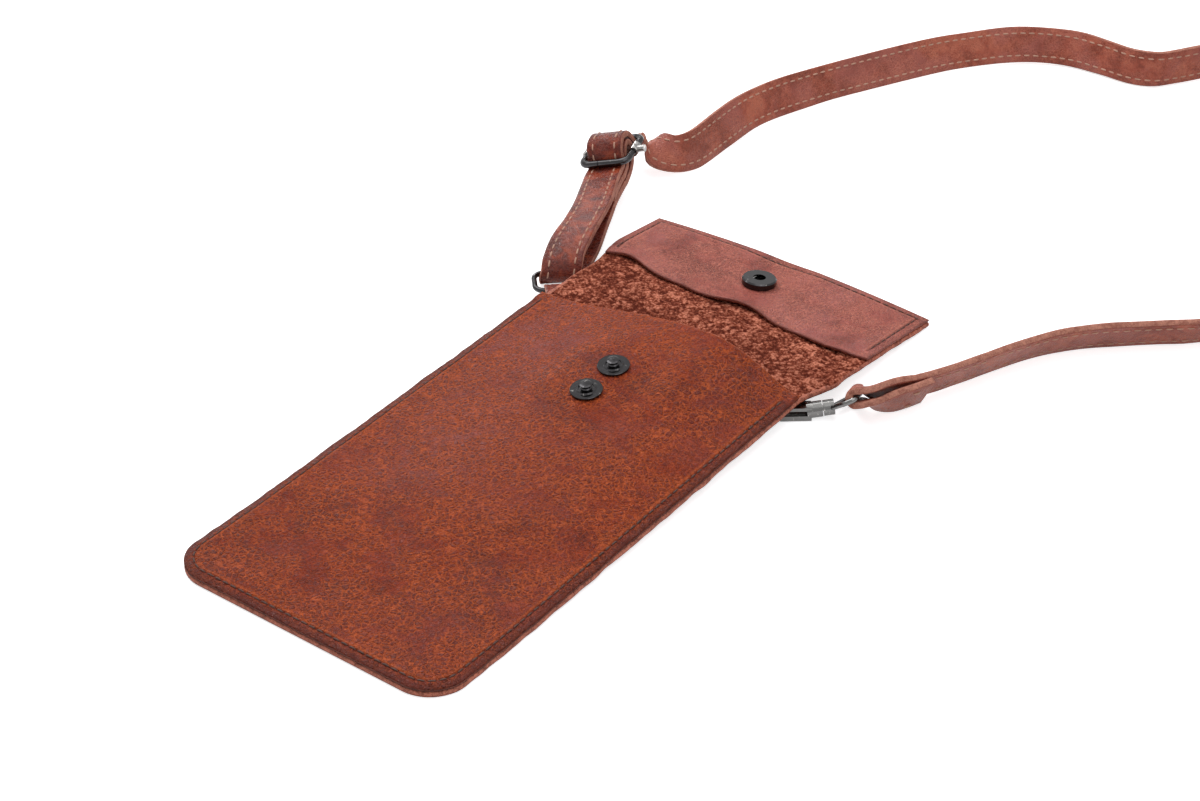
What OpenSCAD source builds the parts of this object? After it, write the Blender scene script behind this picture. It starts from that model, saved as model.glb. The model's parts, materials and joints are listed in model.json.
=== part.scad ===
// Leather phone pouch with a snap flap and a shoulder strap, lying open on a table.
// X runs across the pouch, Y from its bottom edge to the flap, Z up from the table.

/* [Pocket] */
// Width of the pocket
pouch_w = 105; // [95:0.5:115]
// Length of the pocket from the bottom edge to the mouth
pouch_l = 179.5; // [165:0.5:195]
// Thickness of the leather
leather_t = 2; // [1.6:0.1:2.2]
// Radius of the two bottom corners
corner_r = 13; // [8:0.5:20]
// How far the front stands out at the middle of the mouth
mouth_rise = 10.2; // [8:0.1:12]
// Width of the flat margin outside the seam
seam_margin = 3.5; // [3:0.1:4.5]
// Height that the fittings hold the mouth end off the table
lift_h = 5.5; // [5.4:0.05:6]
// Length of the flat stretch that rests on the table
rest_l = 20; // [10:1:30]

/* [Flap] */
// Distance from the mouth to the end of the flap, laid open
flap_reach = 72.8; // [70:0.1:76]
// How much each side of the flap flares out
flap_flare = 4; // [2:0.1:5]
// Thickness of the facing
facing_t = 1.3; // [1:0.1:1.5]
// Length of the facing
facing_l = 38.5; // [34:0.5:40]

/* [Snap] */
// Distance from the mouth down to the upper stud
stud_drop = 29.2; // [28:0.1:31]
// Distance between the two studs
stud_pitch = 14.3; // [13:0.1:16]
// Distance from the mouth to the socket, laid open
socket_reach = 53.5; // [52:0.1:55]
// Diameter of a stud's washer
washer_d = 10.6; // [9.5:0.1:11.5]
// Thickness of a stud's washer
washer_t = 0.9; // [0.7:0.05:1]
// Height of a stud over the leather
stud_h = 3.1; // [3:0.05:3.2]
// Diameter of a stud's head
head_d = 4.2; // [3.8:0.05:4.4]
// Diameter of a stud's waist
waist_d = 3.2; // [3:0.05:3.4]
// Diameter of the socket
socket_d = 12; // [11.5:0.1:13]
// Height of the socket
socket_h = 2.6; // [2.5:0.05:2.8]
// Diameter of the cap
cap_d = 12.5; // [11:0.1:13]
// Thickness of the cap
cap_t = 1; // [0.8:0.05:1.1]

/* [Strap] */
// Width of the strap
strap_w = 14; // [12:0.1:14.2]
// Thickness of the strap
strap_t = 2.4; // [1.8:0.1:2.5]
// Distance between neighbouring strands put away
strand_pitch = 8; // [7:0.5:10]
// Radius of the two bends in the middle of the strap put away
core_r = 28; // [28:0.5:32]

/* [Fittings] */
// Wire diameter of the two rings
ring_wire_d = 1.9; // [1.6:0.05:1.95]
// Half length of a ring, between wire centres
ring_half_l = 9; // [8.9:0.1:10]
// Half width of a ring, between wire centres
ring_half_w = 5; // [4.8:0.1:5.5]
// Thickness of the tab leather
tab_t = 1.1; // [0.9:0.05:1.1]
// Width of a tab
tab_w = 12; // [9:0.5:13]
// Length of a tab
tab_l = 24; // [22:0.5:26]
// Wire diameter of the slider
slider_wire_d = 2.6; // [2:0.1:2.7]
// Half length of the slider, between wire centres
slider_half_l = 9.2; // [9.1:0.1:10]
// Half width of the slider, between wire centres
slider_half_w = 8.8; // [8.7:0.1:9.5]
// Diameter of the hook's collar
collar_d = 5.4; // [5:0.1:5.5]
// Width of the hook's frame
hook_w = 4.5; // [4:0.1:5]
// Half width of the eye, between wire centres
eye_half_w = 8; // [7.9:0.05:8.2]

/* [Hidden] */

// Clearances and small sizes
running_gap = 0.07;
seat_gap = 0.05;
overrun = 1;
round_fn = 48;

// Colours
cognac = "sienna";
suede = "peru";
strap_brown = "saddlebrown";
thread_pale = "wheat";
gunmetal = "dimgray";

// Places along the pouch
half_w = pouch_w / 2;
flap_end = pouch_l + flap_reach;
stud_y = pouch_l - stud_drop;
stud_low_y = stud_y - stud_pitch;
socket_y = pouch_l + socket_reach;
rest_soft = 30;
bulge_start = 8;
flare_right = [0, 16.5];
flare_left = [25.5, 48.5];

// The row frame stands at the middle of the pouch and its fittings
frame_x = -3.335;
frame_y = 138.33;

// Height of the leather's underside over the table
fold_flat_reach = 21;
drop_start = pouch_l + fold_flat_reach;
ramp = lift_h / (pouch_l - rest_l - rest_soft / 2);
function low(y) = let(u = y - rest_l)
    u <= 0 ? 0 :
    u < rest_soft ? ramp * u * u / (2 * rest_soft) :
    y < pouch_l ? ramp * (u - rest_soft / 2) :
    y < drop_start ? lift_h :
    lift_h * (1 - (y - drop_start) / (flap_end - drop_start));

function smooth(t) = let(u = min(1, max(0, t))) u * u * (3 - 2 * u);

// Shape of the bulge across and along the front, as shares of mouth_rise
peak_share = 0.18;
left_power_share = 0.8;
right_power_share = 0.6;
along_power_share = 1.8;
bulge_half = half_w - seam_margin;
peak_x = peak_share * pouch_w;
function bump_share(x) = x < peak_x
    ? pow(smooth((x + bulge_half) / (peak_x + bulge_half)), left_power_share)
    : pow(smooth((bulge_half - x) / (bulge_half - peak_x)), right_power_share);
function along_share(y) =
    pow(max(0, (y - bulge_start) / (pouch_l - bulge_start)), along_power_share);
function bulge_top(x, y) =
    low(y) + 2 * leather_t + mouth_rise * bump_share(x) * along_share(y);

// The front is flat round the studs, in the plane through both
stud_mid_y = (stud_y + stud_low_y) / 2;
stud_slope = (bulge_top(0, stud_y) - bulge_top(0, stud_low_y)) / stud_pitch;
stud_tilt = atan(stud_slope);
flat_r = 10;
blend_r = 24;
function stud_plane(y) = bulge_top(0, stud_low_y) + stud_slope * (y - stud_low_y);
function stud_distance(x, y) =
    norm([x, max(0, y - stud_y) + min(0, y - stud_low_y)]);
function front_top(x, y) =
    let(k = smooth((stud_distance(x, y) - flat_r) / (blend_r - flat_r)))
    k * bulge_top(x, y) + (1 - k) * stud_plane(y);

// The fold: two hinges, at the inner face of the leather, that turn alike.
// Their places are solved so that the socket seats square on the upper stud.
ring_rise = 0.4;
seat_height = washer_t + ring_rise + 4 * seat_gap + socket_h;
flap_tilt = atan(lift_h / (flap_end - drop_start));
close_angle = 180 + stud_tilt + flap_tilt;
half_close = close_angle / 2;
hinge_z = lift_h + leather_t;
facing_z = low(socket_y) + leather_t + facing_t;
socket_up = facing_z - hinge_z;
seat_y = stud_y - seat_height * sin(stud_tilt);
seat_z = stud_plane(stud_y) + seat_height * cos(stud_tilt);
fold_a = [1 - cos(close_angle), cos(half_close) - cos(close_angle),
    seat_y - socket_y * cos(close_angle) + socket_up * sin(close_angle)];
fold_b = [-sin(close_angle), sin(half_close) - sin(close_angle),
    seat_z - hinge_z - socket_y * sin(close_angle) - socket_up * cos(close_angle)];
fold_det = fold_a[0] * fold_b[1] - fold_a[1] * fold_b[0];
hinge_low_y = (fold_a[2] * fold_b[1] - fold_a[1] * fold_b[2]) / fold_det;
strip_l = (fold_a[0] * fold_b[2] - fold_a[2] * fold_b[0]) / fold_det;
hinge_high_y = hinge_low_y + strip_l;

echo(hinge_low_y = hinge_low_y, strip_l = strip_l, hinge_z = hinge_z);
echo(half_close = half_close, stud_tilt = stud_tilt, flap_tilt = flap_tilt);

module place() translate([-frame_x, -frame_y, 0]) children();

// Half width of the leather at y, on each side
function side_right(y) = half_w
    + flap_flare * smooth((y - pouch_l - flare_right[0]) / (flare_right[1] - flare_right[0]));
function side_left(y) = half_w
    + flap_flare * smooth((y - pouch_l - flare_left[0]) / (flare_left[1] - flare_left[0]));

corner_steps = 8;
side_steps = 24;
// Outline of the whole leather, drawn in by inset, from y0 to y1
function outline_points(inset, y0, y1) = let(r = corner_r - inset, start = max(y0, corner_r)) concat(
    [for (i = [0 : side_steps]) let(y = start + (y1 - start) * i / side_steps)
        [side_right(y) - inset, y]],
    [for (i = [0 : side_steps]) let(y = y1 + (start - y1) * i / side_steps)
        [inset - side_left(y), y]],
    y0 < corner_r ? concat(
        [for (i = [1 : corner_steps]) let(a = 180 + 90 * i / corner_steps)
            [corner_r - half_w + r * cos(a), corner_r + r * sin(a)]],
        [for (i = [0 : corner_steps - 1]) let(a = 270 + 90 * i / corner_steps)
            [half_w - corner_r + r * cos(a), corner_r + r * sin(a)]]) : []);

module prism(inset, y0, y1) {
    translate([0, 0, -overrun])
        linear_extrude(lift_h + mouth_rise + 4 * leather_t + overrun)
            polygon(outline_points(inset, y0, y1));
}

seam_steps = 26;
seam_ys = [for (i = [0 : seam_steps]) pouch_l * i / seam_steps];
// A layer that follows the underside, between two heights over it
module layer(ys, z0, z1) {
    pts = concat([for (y = ys) [y, low(y) + z0]],
        [for (i = [len(ys) - 1 : -1 : 0]) [ys[i], low(ys[i]) + z1]]);
    translate([-pouch_w, 0, 0]) rotate([90, 0, 90])
        linear_extrude(2 * pouch_w) polygon(pts);
}

module leather_band(y0, y1, ys, z0, z1) {
    intersection() {
        layer(ys, z0, z1);
        prism(0, y0, y1);
    }
}

// Snap hardware places
module at_stud(y) translate([0, y, stud_plane(y)]) rotate([stud_tilt, 0, 0]) children();
module at_socket() translate([0, socket_y, facing_z]) rotate([-flap_tilt, 0, 0]) children();

shank_d = 3;
shank_bore_d = shank_d + 4 * seat_gap;
groove_w = 1.2;
groove_depth = 0.5;
thread_w = 0.8;
thread_t = 0.45;
seam_inset = 3;

// A rod between two points
module rod(p, q, r) {
    v = q - p;
    translate(p) rotate([0, acos(v[2] / norm(v)), atan2(v[1], v[0])])
        cylinder(h = norm(v), r = r, $fn = round_fn);
}

// A rounded rectangle of wire in the XY plane
module wire_loop(half_l, half_w_in, bend_r, wire_r) {
    for (s = [-1, 1]) {
        rod([bend_r - half_l, s * half_w_in, 0], [half_l - bend_r, s * half_w_in, 0], wire_r);
        rod([s * half_l, bend_r - half_w_in, 0], [s * half_l, half_w_in - bend_r, 0], wire_r);
    }
    for (q = [[1, 1, 0], [-1, 1, 90], [-1, -1, 180], [1, -1, 270]])
        translate([q[0] * (half_l - bend_r), q[1] * (half_w_in - bend_r), 0]) rotate(q[2])
            rotate_extrude(angle = 90, $fn = round_fn) translate([bend_r, 0])
                circle(wire_r, $fn = round_fn);
}

// Pocket
module back_panel() color(cognac) place() {
    ys = concat(seam_ys, [hinge_low_y]);
    difference() {
        leather_band(0, hinge_low_y, ys, 0, leather_t);
        for (s = [0, 1]) {
            at_tab(s) rivet_bore();
            at_tab(s) translate([-rivet_reach, 0, inner_rise(s)])
                cylinder(h = 2 * leather_t, d = rivet_head_d + 4 * seat_gap, $fn = round_fn);
        }
    }
}

front_steps = 22;
front_xs = concat([-half_w], [for (i = [0 : front_steps])
    -bulge_half + 2 * bulge_half * i / front_steps], [half_w]);
module front_sheet() {
    nx = len(front_xs);
    ny = len(seam_ys);
    top = [for (y = seam_ys) for (x = front_xs) [x, y, front_top(x, y)]];
    under = [for (p = top) [p[0], p[1], p[2] - leather_t]];
    n = nx * ny;
    polyhedron(concat(top, under), concat(
        [for (j = [0 : ny - 2]) for (i = [0 : nx - 2]) let(a = j * nx + i)
            [a, a + nx, a + nx + 1]],
        [for (j = [0 : ny - 2]) for (i = [0 : nx - 2]) let(a = j * nx + i)
            [a, a + nx + 1, a + 1]],
        [for (j = [0 : ny - 2]) for (i = [0 : nx - 2]) let(a = n + j * nx + i)
            [a, a + nx + 1, a + nx]],
        [for (j = [0 : ny - 2]) for (i = [0 : nx - 2]) let(a = n + j * nx + i)
            [a, a + 1, a + nx + 1]],
        [for (i = [0 : nx - 2]) [i, i + 1, n + i + 1]],
        [for (i = [0 : nx - 2]) [i, n + i + 1, n + i]],
        [for (i = [0 : nx - 2]) let(a = (ny - 1) * nx + i) [a, n + a, n + a + 1]],
        [for (i = [0 : nx - 2]) let(a = (ny - 1) * nx + i) [a, n + a + 1, a + 1]],
        [for (j = [0 : ny - 2]) let(a = j * nx) [a, n + a, n + a + nx]],
        [for (j = [0 : ny - 2]) let(a = j * nx) [a, n + a + nx, a + nx]],
        [for (j = [0 : ny - 2]) let(a = j * nx + nx - 1) [a, a + nx, n + a + nx]],
        [for (j = [0 : ny - 2]) let(a = j * nx + nx - 1) [a, n + a + nx, n + a]]));
}

seam_end = 4;
// The stretch of the seam between two insets, in a layer over the underside
module seam_path(width, z0, z1, ys, y_top) {
    intersection() {
        layer(ys, z0, z1);
        difference() {
            prism(seam_inset - width / 2, 0, y_top);
            prism(seam_inset + width / 2, 0, pouch_l + overrun);
        }
    }
}

module front_panel() color(cognac) place() {
    difference() {
        intersection() {
            front_sheet();
            prism(0, 0, pouch_l + overrun);
        }
        seam_path(groove_w, 2 * leather_t - groove_depth, 2 * leather_t + overrun,
            seam_ys, pouch_l - seam_end);
        for (y = [stud_y, stud_low_y]) at_stud(y)
            translate([0, 0, -3 * leather_t])
                cylinder(h = 4 * leather_t, d = shank_bore_d, $fn = round_fn);
    }
}

module pocket_seam_thread() color(thread_pale) place()
    seam_path(thread_w, 2 * leather_t - groove_depth + seat_gap,
        2 * leather_t - groove_depth + seat_gap + thread_t, seam_ys,
        pouch_l - seam_end - seat_gap);

// Studs
bore_depth = 1.5;
waist_rise = (stud_h - washer_t) / 3;
waist_z = washer_t + ring_rise + 2 * seat_gap + waist_rise;
module stud() {
    rim = washer_d / 2;
    ring_out = 0.64 * rim;
    ring_in = 0.47 * rim;
    post = 0.45 * head_d;
    r_head = head_d / 2;
    edge = washer_t / 3;
    half_waist = 0.16 * (stud_h - washer_t);
    bore_r = shank_d / 2 + seat_gap;
    rotate_extrude($fn = round_fn) polygon([
        [bore_r, 0], [rim - edge, 0], [rim, edge], [rim, washer_t - edge / 2],
        [rim - edge / 2, washer_t], [ring_out, washer_t], [ring_out - edge, washer_t + ring_rise],
        [ring_in + edge / 2, washer_t + ring_rise], [ring_in, washer_t], [post, washer_t],
        [post, waist_z - 2 * half_waist], [waist_d / 2, waist_z - half_waist],
        [waist_d / 2, waist_z + half_waist], [r_head, waist_z + 1.6 * half_waist],
        [r_head, stud_h - edge], [0.7 * r_head, stud_h - edge / 4], [0, stud_h],
        [0, bore_depth], [bore_r, bore_depth]]);
}
module snap_studs() color(gunmetal) place()
    for (y = [stud_y, stud_low_y]) at_stud(y) translate([0, 0, seat_gap]) stud();

flange_d = 9;
flange_t = 0.7;
module stud_eyelets() color(gunmetal) place()
    for (y = [stud_y, stud_low_y]) at_stud(y) {
        translate([0, 0, -leather_t - seat_gap - flange_t])
            cylinder(h = flange_t, d = flange_d, $fn = round_fn);
        translate([0, 0, -leather_t - seat_gap - flange_t / 2])
            cylinder(h = leather_t + seat_gap + flange_t / 2 + bore_depth - seat_gap,
                d = shank_d, $fn = round_fn);
    }

// Fold and flap
module fold_strip() color(suede) place()
    leather_band(hinge_low_y, hinge_high_y, [hinge_low_y, hinge_high_y], 0, leather_t);

flap_ys = [hinge_high_y, drop_start, flap_end];
facing_start = flap_end - facing_l;
module cap_bore() at_socket() translate([0, 0, -facing_t - leather_t - overrun])
    cylinder(h = facing_t + leather_t + 2 * overrun, d = shank_bore_d, $fn = round_fn);

module flap_panel() color(suede) place() difference() {
    leather_band(hinge_high_y, flap_end, flap_ys, 0, leather_t);
    cap_bore();
}

facing_seam_inset = 3;
module facing_seam(width, z0, z1) {
    ys = [facing_start, flap_end];
    y_end = flap_end - facing_seam_inset + width / 2;
    intersection() {
        layer(ys, z0, z1);
        difference() {
            prism(facing_seam_inset - width / 2, facing_start + seam_end, y_end);
            prism(facing_seam_inset + width / 2, facing_start, y_end - width);
        }
    }
}
module flap_facing() color("rosybrown") place() difference() {
    leather_band(facing_start, flap_end, [facing_start, flap_end], leather_t, leather_t + facing_t);
    cap_bore();
    facing_seam(groove_w, leather_t + facing_t - groove_depth, leather_t + facing_t + overrun);
}
module flap_seam_thread() color(thread_pale) place()
    facing_seam(thread_w, leather_t + facing_t - groove_depth + seat_gap,
        leather_t + facing_t - groove_depth + seat_gap + thread_t);

// Socket, its spring and the cap that holds it
spring_wire_d = 0.5;
spring_z = socket_h - waist_rise;
spring_room = spring_wire_d / 2 + 2 * seat_gap;
spring_half = waist_d / 2 + spring_wire_d / 2 + 4 * seat_gap;
socket_floor = 0.35;
module snap_socket() color(gunmetal) place() at_socket() translate([0, 0, seat_gap]) {
    rim = socket_d / 2;
    edge = socket_h / 6;
    hole = head_d / 2 + 2 * seat_gap;
    wide = rim - 1.6 * edge;
    rotate_extrude($fn = round_fn) polygon([
        [shank_bore_d / 2, 0], [rim - edge, 0], [rim, edge], [rim, socket_h - edge],
        [rim - edge, socket_h], [hole, socket_h], [hole, spring_z + spring_room],
        [wide, spring_z + spring_room], [wide, spring_z - spring_room],
        [hole, spring_z - spring_room], [hole, socket_floor], [shank_bore_d / 2, socket_floor]]);
}

spring_leg = 6;
module socket_spring() color("silver") place() at_socket() translate([0, 0, seat_gap + spring_z]) {
    for (s = [-1, 1])
        rod([s * spring_half, -spring_leg / 2, 0], [s * spring_half, spring_leg / 4, 0],
            spring_wire_d / 2);
    translate([0, spring_leg / 4, 0]) rotate_extrude(angle = 180, $fn = round_fn)
        translate([spring_half, 0]) circle(d = spring_wire_d, $fn = round_fn);
}

flare_t = 0.25;
flare_d = 3.9;
module snap_cap() color(gunmetal) place() at_socket() {
    under = -facing_t - leather_t - seat_gap;
    rotate_extrude($fn = round_fn) polygon([
        [0, under - cap_t], [cap_d / 4, under - cap_t], [cap_d / 2 - cap_t / 2, under - cap_t / 2],
        [cap_d / 2, under - cap_t / 4], [cap_d / 2, under], [shank_d / 2, under],
        [shank_d / 2, seat_gap + socket_floor + seat_gap],
        [flare_d / 2, seat_gap + socket_floor + seat_gap],
        [flare_d / 2, 2 * seat_gap + socket_floor + flare_t],
        [0, 2 * seat_gap + socket_floor + flare_t]]);
}

// Tabs, rings and rivets. Each tab stands at the bar of its ring and runs
// inward under the back, and a ring lies outward from the same bar.
ring_r = ring_wire_d / 2;
left_bar = [-half_w - 1.4, pouch_l + 12.7, 3];
left_turn = 133;
left_dip = 5;
hook_turn = 39.6;
ring_z = 2.7;
hook_bar_reach = 17.2;
collar_at = [half_w + 4.7, pouch_l + 5.1, 3.4];
hook_dir = [cos(hook_turn), sin(hook_turn), 0];
hook_bar = collar_at - hook_bar_reach * hook_dir;
right_bar = [hook_bar[0], hook_bar[1], ring_z] - 2 * ring_half_w * hook_dir;
right_tab_tilt = atan(ramp * sin(hook_turn));

module at_tab(s) {
    if (s == 0) translate(left_bar) rotate(left_turn) children();
    else translate(right_bar) rotate(hook_turn) rotate([0, -right_tab_tilt, 0]) children();
}

fold_in = ring_r + seat_gap;
fold_out = fold_in + tab_t;
arc_steps = 12;
tab_join = 8;
module ring_tab(s) {
    arc_out = [for (i = [0 : arc_steps]) let(a = 90 - 180 * i / arc_steps)
        [fold_out * cos(a), fold_out * sin(a)]];
    arc_in = [for (i = [0 : arc_steps]) let(a = -90 + 180 * i / arc_steps)
        [fold_in * cos(a), fold_in * sin(a)]];
    difference() {
        rotate([90, 0, 0]) linear_extrude(tab_w, center = true) polygon(concat(
            [[-tab_l, fold_out]], arc_out,
            [[-tab_join, fold_in - tab_t], [-tab_l, fold_in - tab_t], [-tab_l, fold_in],
                [-tab_join - tab_t, fold_in], [-tab_t, -fold_in]], arc_in,
            [[-tab_join, fold_in], [-tab_join, fold_in + seat_gap], [-tab_l, fold_in + seat_gap]]));
        rivet_bore();
    }
}
module ring_tab_left() color(cognac) place() at_tab(0) ring_tab(0);
module ring_tab_right() color(cognac) place() at_tab(1) ring_tab(1);

rivet_reach = 19.5;
rivet_d = 2.2;
rivet_head_d = 5.5;
rivet_head_t = 0.7;
module rivet_bore() translate([-rivet_reach, 0, -3 * tab_t])
    cylinder(h = 6 * tab_t + 3 * leather_t, d = rivet_d + 2 * seat_gap, $fn = round_fn);
rivet_sink = 0.8;
// Height over the bar of the seat of a rivet's inner head, let into the back
function inner_rise(s) = let(bar = s == 0 ? left_bar : right_bar,
    reach_dir = s == 0 ? [cos(left_turn), sin(left_turn), 0] : hook_dir)
    low((bar - rivet_reach * reach_dir)[1]) + leather_t - rivet_sink - bar[2];
module tab_rivets() color(gunmetal) place() for (s = [0, 1]) {
    rise = inner_rise(s) + 2 * seat_gap;
    at_tab(s) translate([-rivet_reach, 0, 0]) {
        bottom = fold_in - tab_t - seat_gap - rivet_head_t;
        translate([0, 0, bottom]) cylinder(h = rivet_head_t, d = rivet_head_d, $fn = round_fn);
        translate([0, 0, bottom + rivet_head_t / 2])
            cylinder(h = rise - bottom + rivet_head_t / 2, d = rivet_d, $fn = round_fn);
        translate([0, 0, rise]) cylinder(h = rivet_head_t, d = rivet_head_d, $fn = round_fn);
    }
}

ring_bend_r = 3;
module ring_shape() translate([ring_half_w, 0, 0]) rotate(90)
    wire_loop(ring_half_l, ring_half_w, ring_bend_r, ring_r);
module ring_left() color(gunmetal) place()
    translate(left_bar) rotate(left_turn) rotate([0, -left_dip, 0]) ring_shape();
module ring_right() color(gunmetal) place()
    translate(right_bar) rotate(hook_turn) ring_shape();

// Hook: local x runs from the collar outward along hook_turn, z up
bar_t = 1.2;
hook_top_z = 5;
hook_top = hook_top_z - collar_at[2];
slot_top = hook_top - bar_t;
bolt_r = 0.6;
bolt_z = ring_z - collar_at[2] - ring_r - 2 * seat_gap - bolt_r;
sleeve_half = 0.9;
nose_x = -hook_bar_reach - ring_r - 2 * seat_gap;
nose_t = 1.6;
sleeve_from = -13;
collar_back = -4.4;
collar_front = 0.6;
swivel_tilt = 8.5;
pin_r = 0.9;
pin_head_r = 1.5;
pin_head_t = 1;
bolt_travel = 4;
module at_hook() translate(collar_at) rotate(hook_turn) children();
module at_swivel() at_hook() rotate([0, -swivel_tilt, 0]) children();
module along_x(x0, x1, r) translate([x0, 0, 0]) rotate([0, 90, 0])
    cylinder(h = x1 - x0, r = r, $fn = round_fn);
module slab(x0, x1, w, z0, z1) translate([x0, -w / 2, z0]) cube([x1 - x0, w, z1 - z0]);

sleeve_end = collar_back + pin_head_r;
module hook_body() color(gunmetal) place() difference() {
    union() {
        at_hook() {
            slab(nose_x - nose_t, collar_back + pin_head_r, hook_w, slot_top, hook_top);
            slab(nose_x - nose_t, nose_x, hook_w, bolt_z - sleeve_half, hook_top);
            slab(sleeve_from, sleeve_end, hook_w, bolt_z - sleeve_half, bolt_z + sleeve_half);
        }
        at_swivel() along_x(collar_back, collar_front, collar_d / 2);
    }
    at_swivel() {
        along_x(collar_back / 2 - pin_head_t, collar_back / 2 + pin_head_t / 2,
            pin_head_r + 4 * seat_gap);
        along_x(collar_back / 2, collar_front + overrun, pin_r + running_gap);
    }
    at_hook() {
        translate([0, 0, bolt_z]) along_x(nose_x - nose_t / 2, sleeve_end - bar_t,
            bolt_r + running_gap);
        slab(sleeve_from + bar_t, sleeve_from + bar_t + bolt_travel + 2 * bar_t, bar_t,
            bolt_z - 2 * sleeve_half, bolt_z);
    }
}

bolt_back = sleeve_from + 3 * bar_t;
lug_x = sleeve_from + 2 * bar_t;
module hook_bolt() color("silver") place() at_hook() {
    translate([0, 0, bolt_z]) along_x(nose_x - nose_t / 2 + seat_gap, bolt_back, bolt_r);
    slab(lug_x - bar_t / 2, lug_x + bar_t / 2, bar_t - 4 * seat_gap,
        bolt_z - sleeve_half, bolt_z);
}
module bolt_spring() color("silver") place() at_hook() translate([0, 0, bolt_z]) difference() {
    along_x(bolt_back + seat_gap, sleeve_end - bar_t - seat_gap, bolt_r - 2 * seat_gap);
    along_x(bolt_back - overrun, sleeve_end, bolt_r / 2);
}

// Swivel and its eye; the eye leans towards the side
eye_wire_r = 0.9;
eye_lean = 60;
block_from = collar_front + 6 * seat_gap;
block_to = block_from + 3.6;
eye_reach = 12.8;
eye_rise = 18;
eye_bend_share = 0.7;
eye_bend_r = 1.6;
eye_foot_share = 0.25;
module at_eye() at_swivel() translate([block_to, 0, 0]) rotate([0, -eye_rise, 0])
    translate([-block_to, 0, 0]) rotate([eye_lean, 0, 0]) children();
eye_corners = let(bend_x = eye_reach * eye_bend_share, foot = eye_foot_share * collar_d)
    [[block_to - eye_wire_r, -foot], [bend_x, -eye_half_w], [eye_reach, -eye_half_w],
    [eye_reach, eye_half_w], [bend_x, eye_half_w], [block_to - eye_wire_r, foot]];
function heading(v) = atan2(v[1], v[0]);
// A wire in the XY plane that turns left at each of its inner corners. Its straight
// lengths reach a little way into the bends, which are a little thinner.
bend_slack = 0.02;
module bent_wire(p, bend_r, wire_r) {
    n = len(p);
    turns = [for (i = [1 : n - 2])
        (heading(p[i + 1] - p[i]) - heading(p[i] - p[i - 1]) + 360) % 360];
    cut = concat([0], [for (t = turns) bend_r * tan(t / 2)], [0]);
    for (i = [0 : n - 2]) {
        v = (p[i + 1] - p[i]) / norm(p[i + 1] - p[i]);
        a = p[i] + (cut[i] - seat_gap) * v;
        b = p[i + 1] - cut[i + 1] * v;
        rod([a[0], a[1], 0], [b[0], b[1], 0] + seat_gap * [v[0], v[1], 0], wire_r);
        if (i < n - 2) translate([b[0] - bend_r * v[1], b[1] + bend_r * v[0], 0])
            rotate(heading(v) - 90) rotate_extrude(angle = turns[i], $fn = round_fn)
                translate([bend_r, 0]) circle(wire_r - bend_slack, $fn = round_fn);
    }
}
module swivel_eye() color(gunmetal) place() {
    at_swivel() {
        along_x(collar_back / 2 - pin_head_t + 2 * seat_gap,
            collar_back / 2 + pin_head_t / 2 - 2 * seat_gap, pin_head_r);
        along_x(collar_back / 2 - pin_head_t / 2, block_to, pin_r);
        along_x(block_from, block_to, collar_d / 2 - 2 * seat_gap);
    }
    at_eye() rotate([90, 0, 0]) bent_wire(eye_corners, eye_bend_r, eye_wire_r);
}

// Straps: a flat band swept along a curve through the points of a route
function unit(v) = v / norm(v);
function curve(a, b, c, d, t) = 0.5 * (2 * b + (c - a) * t + (2 * a - 5 * b + 4 * c - d) * t * t
    + (3 * b - a - 3 * c + d) * t * t * t);
function spline(p, k) = let(n = len(p)) concat([for (i = [0 : n - 2]) for (j = [0 : k - 1])
    curve(p[max(0, i - 1)], p[i], p[i + 1], p[min(n - 1, i + 2)], j / k)], [p[n - 1]]);
function tangent(p, i) = unit(p[min(len(p) - 1, i + 1)] - p[max(0, i - 1)]);
function length_of(p, i = 0) = i >= len(p) - 1 ? 0 : norm(p[i + 1] - p[i]) + length_of(p, i + 1);
chamfer_share = 0.3;
// One eight-sided ring of the band, square to the path, its width along w
function band_ring(c, t, w) =
    let(across = unit(w - (w * t) * t), up = cross(t, across), h = strap_w / 2, d = strap_t / 2,
        e = strap_t * chamfer_share)
    [for (q = [[h, -d + e], [h, d - e], [h - e, d], [e - h, d], [-h, d - e], [-h, e - d],
        [e - h, -d], [h - e, -d]]) c + q[0] * across + q[1] * up];
band_sides = 8;
module band(path, widths) {
    n = len(path);
    pts = [for (i = [0 : n - 1]) each band_ring(path[i], tangent(path, i), widths[i])];
    polyhedron(pts, concat(
        [[for (k = [0 : band_sides - 1]) k]],
        [for (i = [0 : n - 2]) for (k = [0 : band_sides - 1])
            let(a = i * band_sides + k, b = i * band_sides + (k + 1) % band_sides)
            each [[a, a + band_sides, b], [b, a + band_sides, b + band_sides]]],
        [[for (k = [band_sides - 1 : -1 : 0]) (n - 1) * band_sides + k]]));
}

// The straps' points were chosen beside a pouch of this half width and length. When the
// pouch changes they move with its left side (-1), its right side (1) or in between.
laid_beside = [52.5, 179.5];
grown = [pouch_w / 2 - laid_beside[0], pouch_l - laid_beside[1]];
function beside(side, p) = [p[0] + side * grown[0], p[1] + grown[1], p[2]];
function all_beside(side, route) = [for (p = route) beside(side, p)];

// Slider: local x along its bars, y away from the pouch, z up out of its frame
slider_place = [-86.1, 263.4, 15.5];
slider_at = beside(-1, slider_place);
slider_x = unit([0.923, 0.252, 0.290]);
slider_y = unit(cross(unit([-0.258, -0.152, 0.954]), slider_x));
slider_z = cross(slider_x, slider_y);
module at_slider() multmatrix([
    [slider_x[0], slider_y[0], slider_z[0], slider_at[0]],
    [slider_x[1], slider_y[1], slider_z[1], slider_at[1]],
    [slider_x[2], slider_y[2], slider_z[2], slider_at[2]], [0, 0, 0, 1]]) children();
function on_slider(y, z) = slider_at + y * slider_y + z * slider_z;

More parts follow.
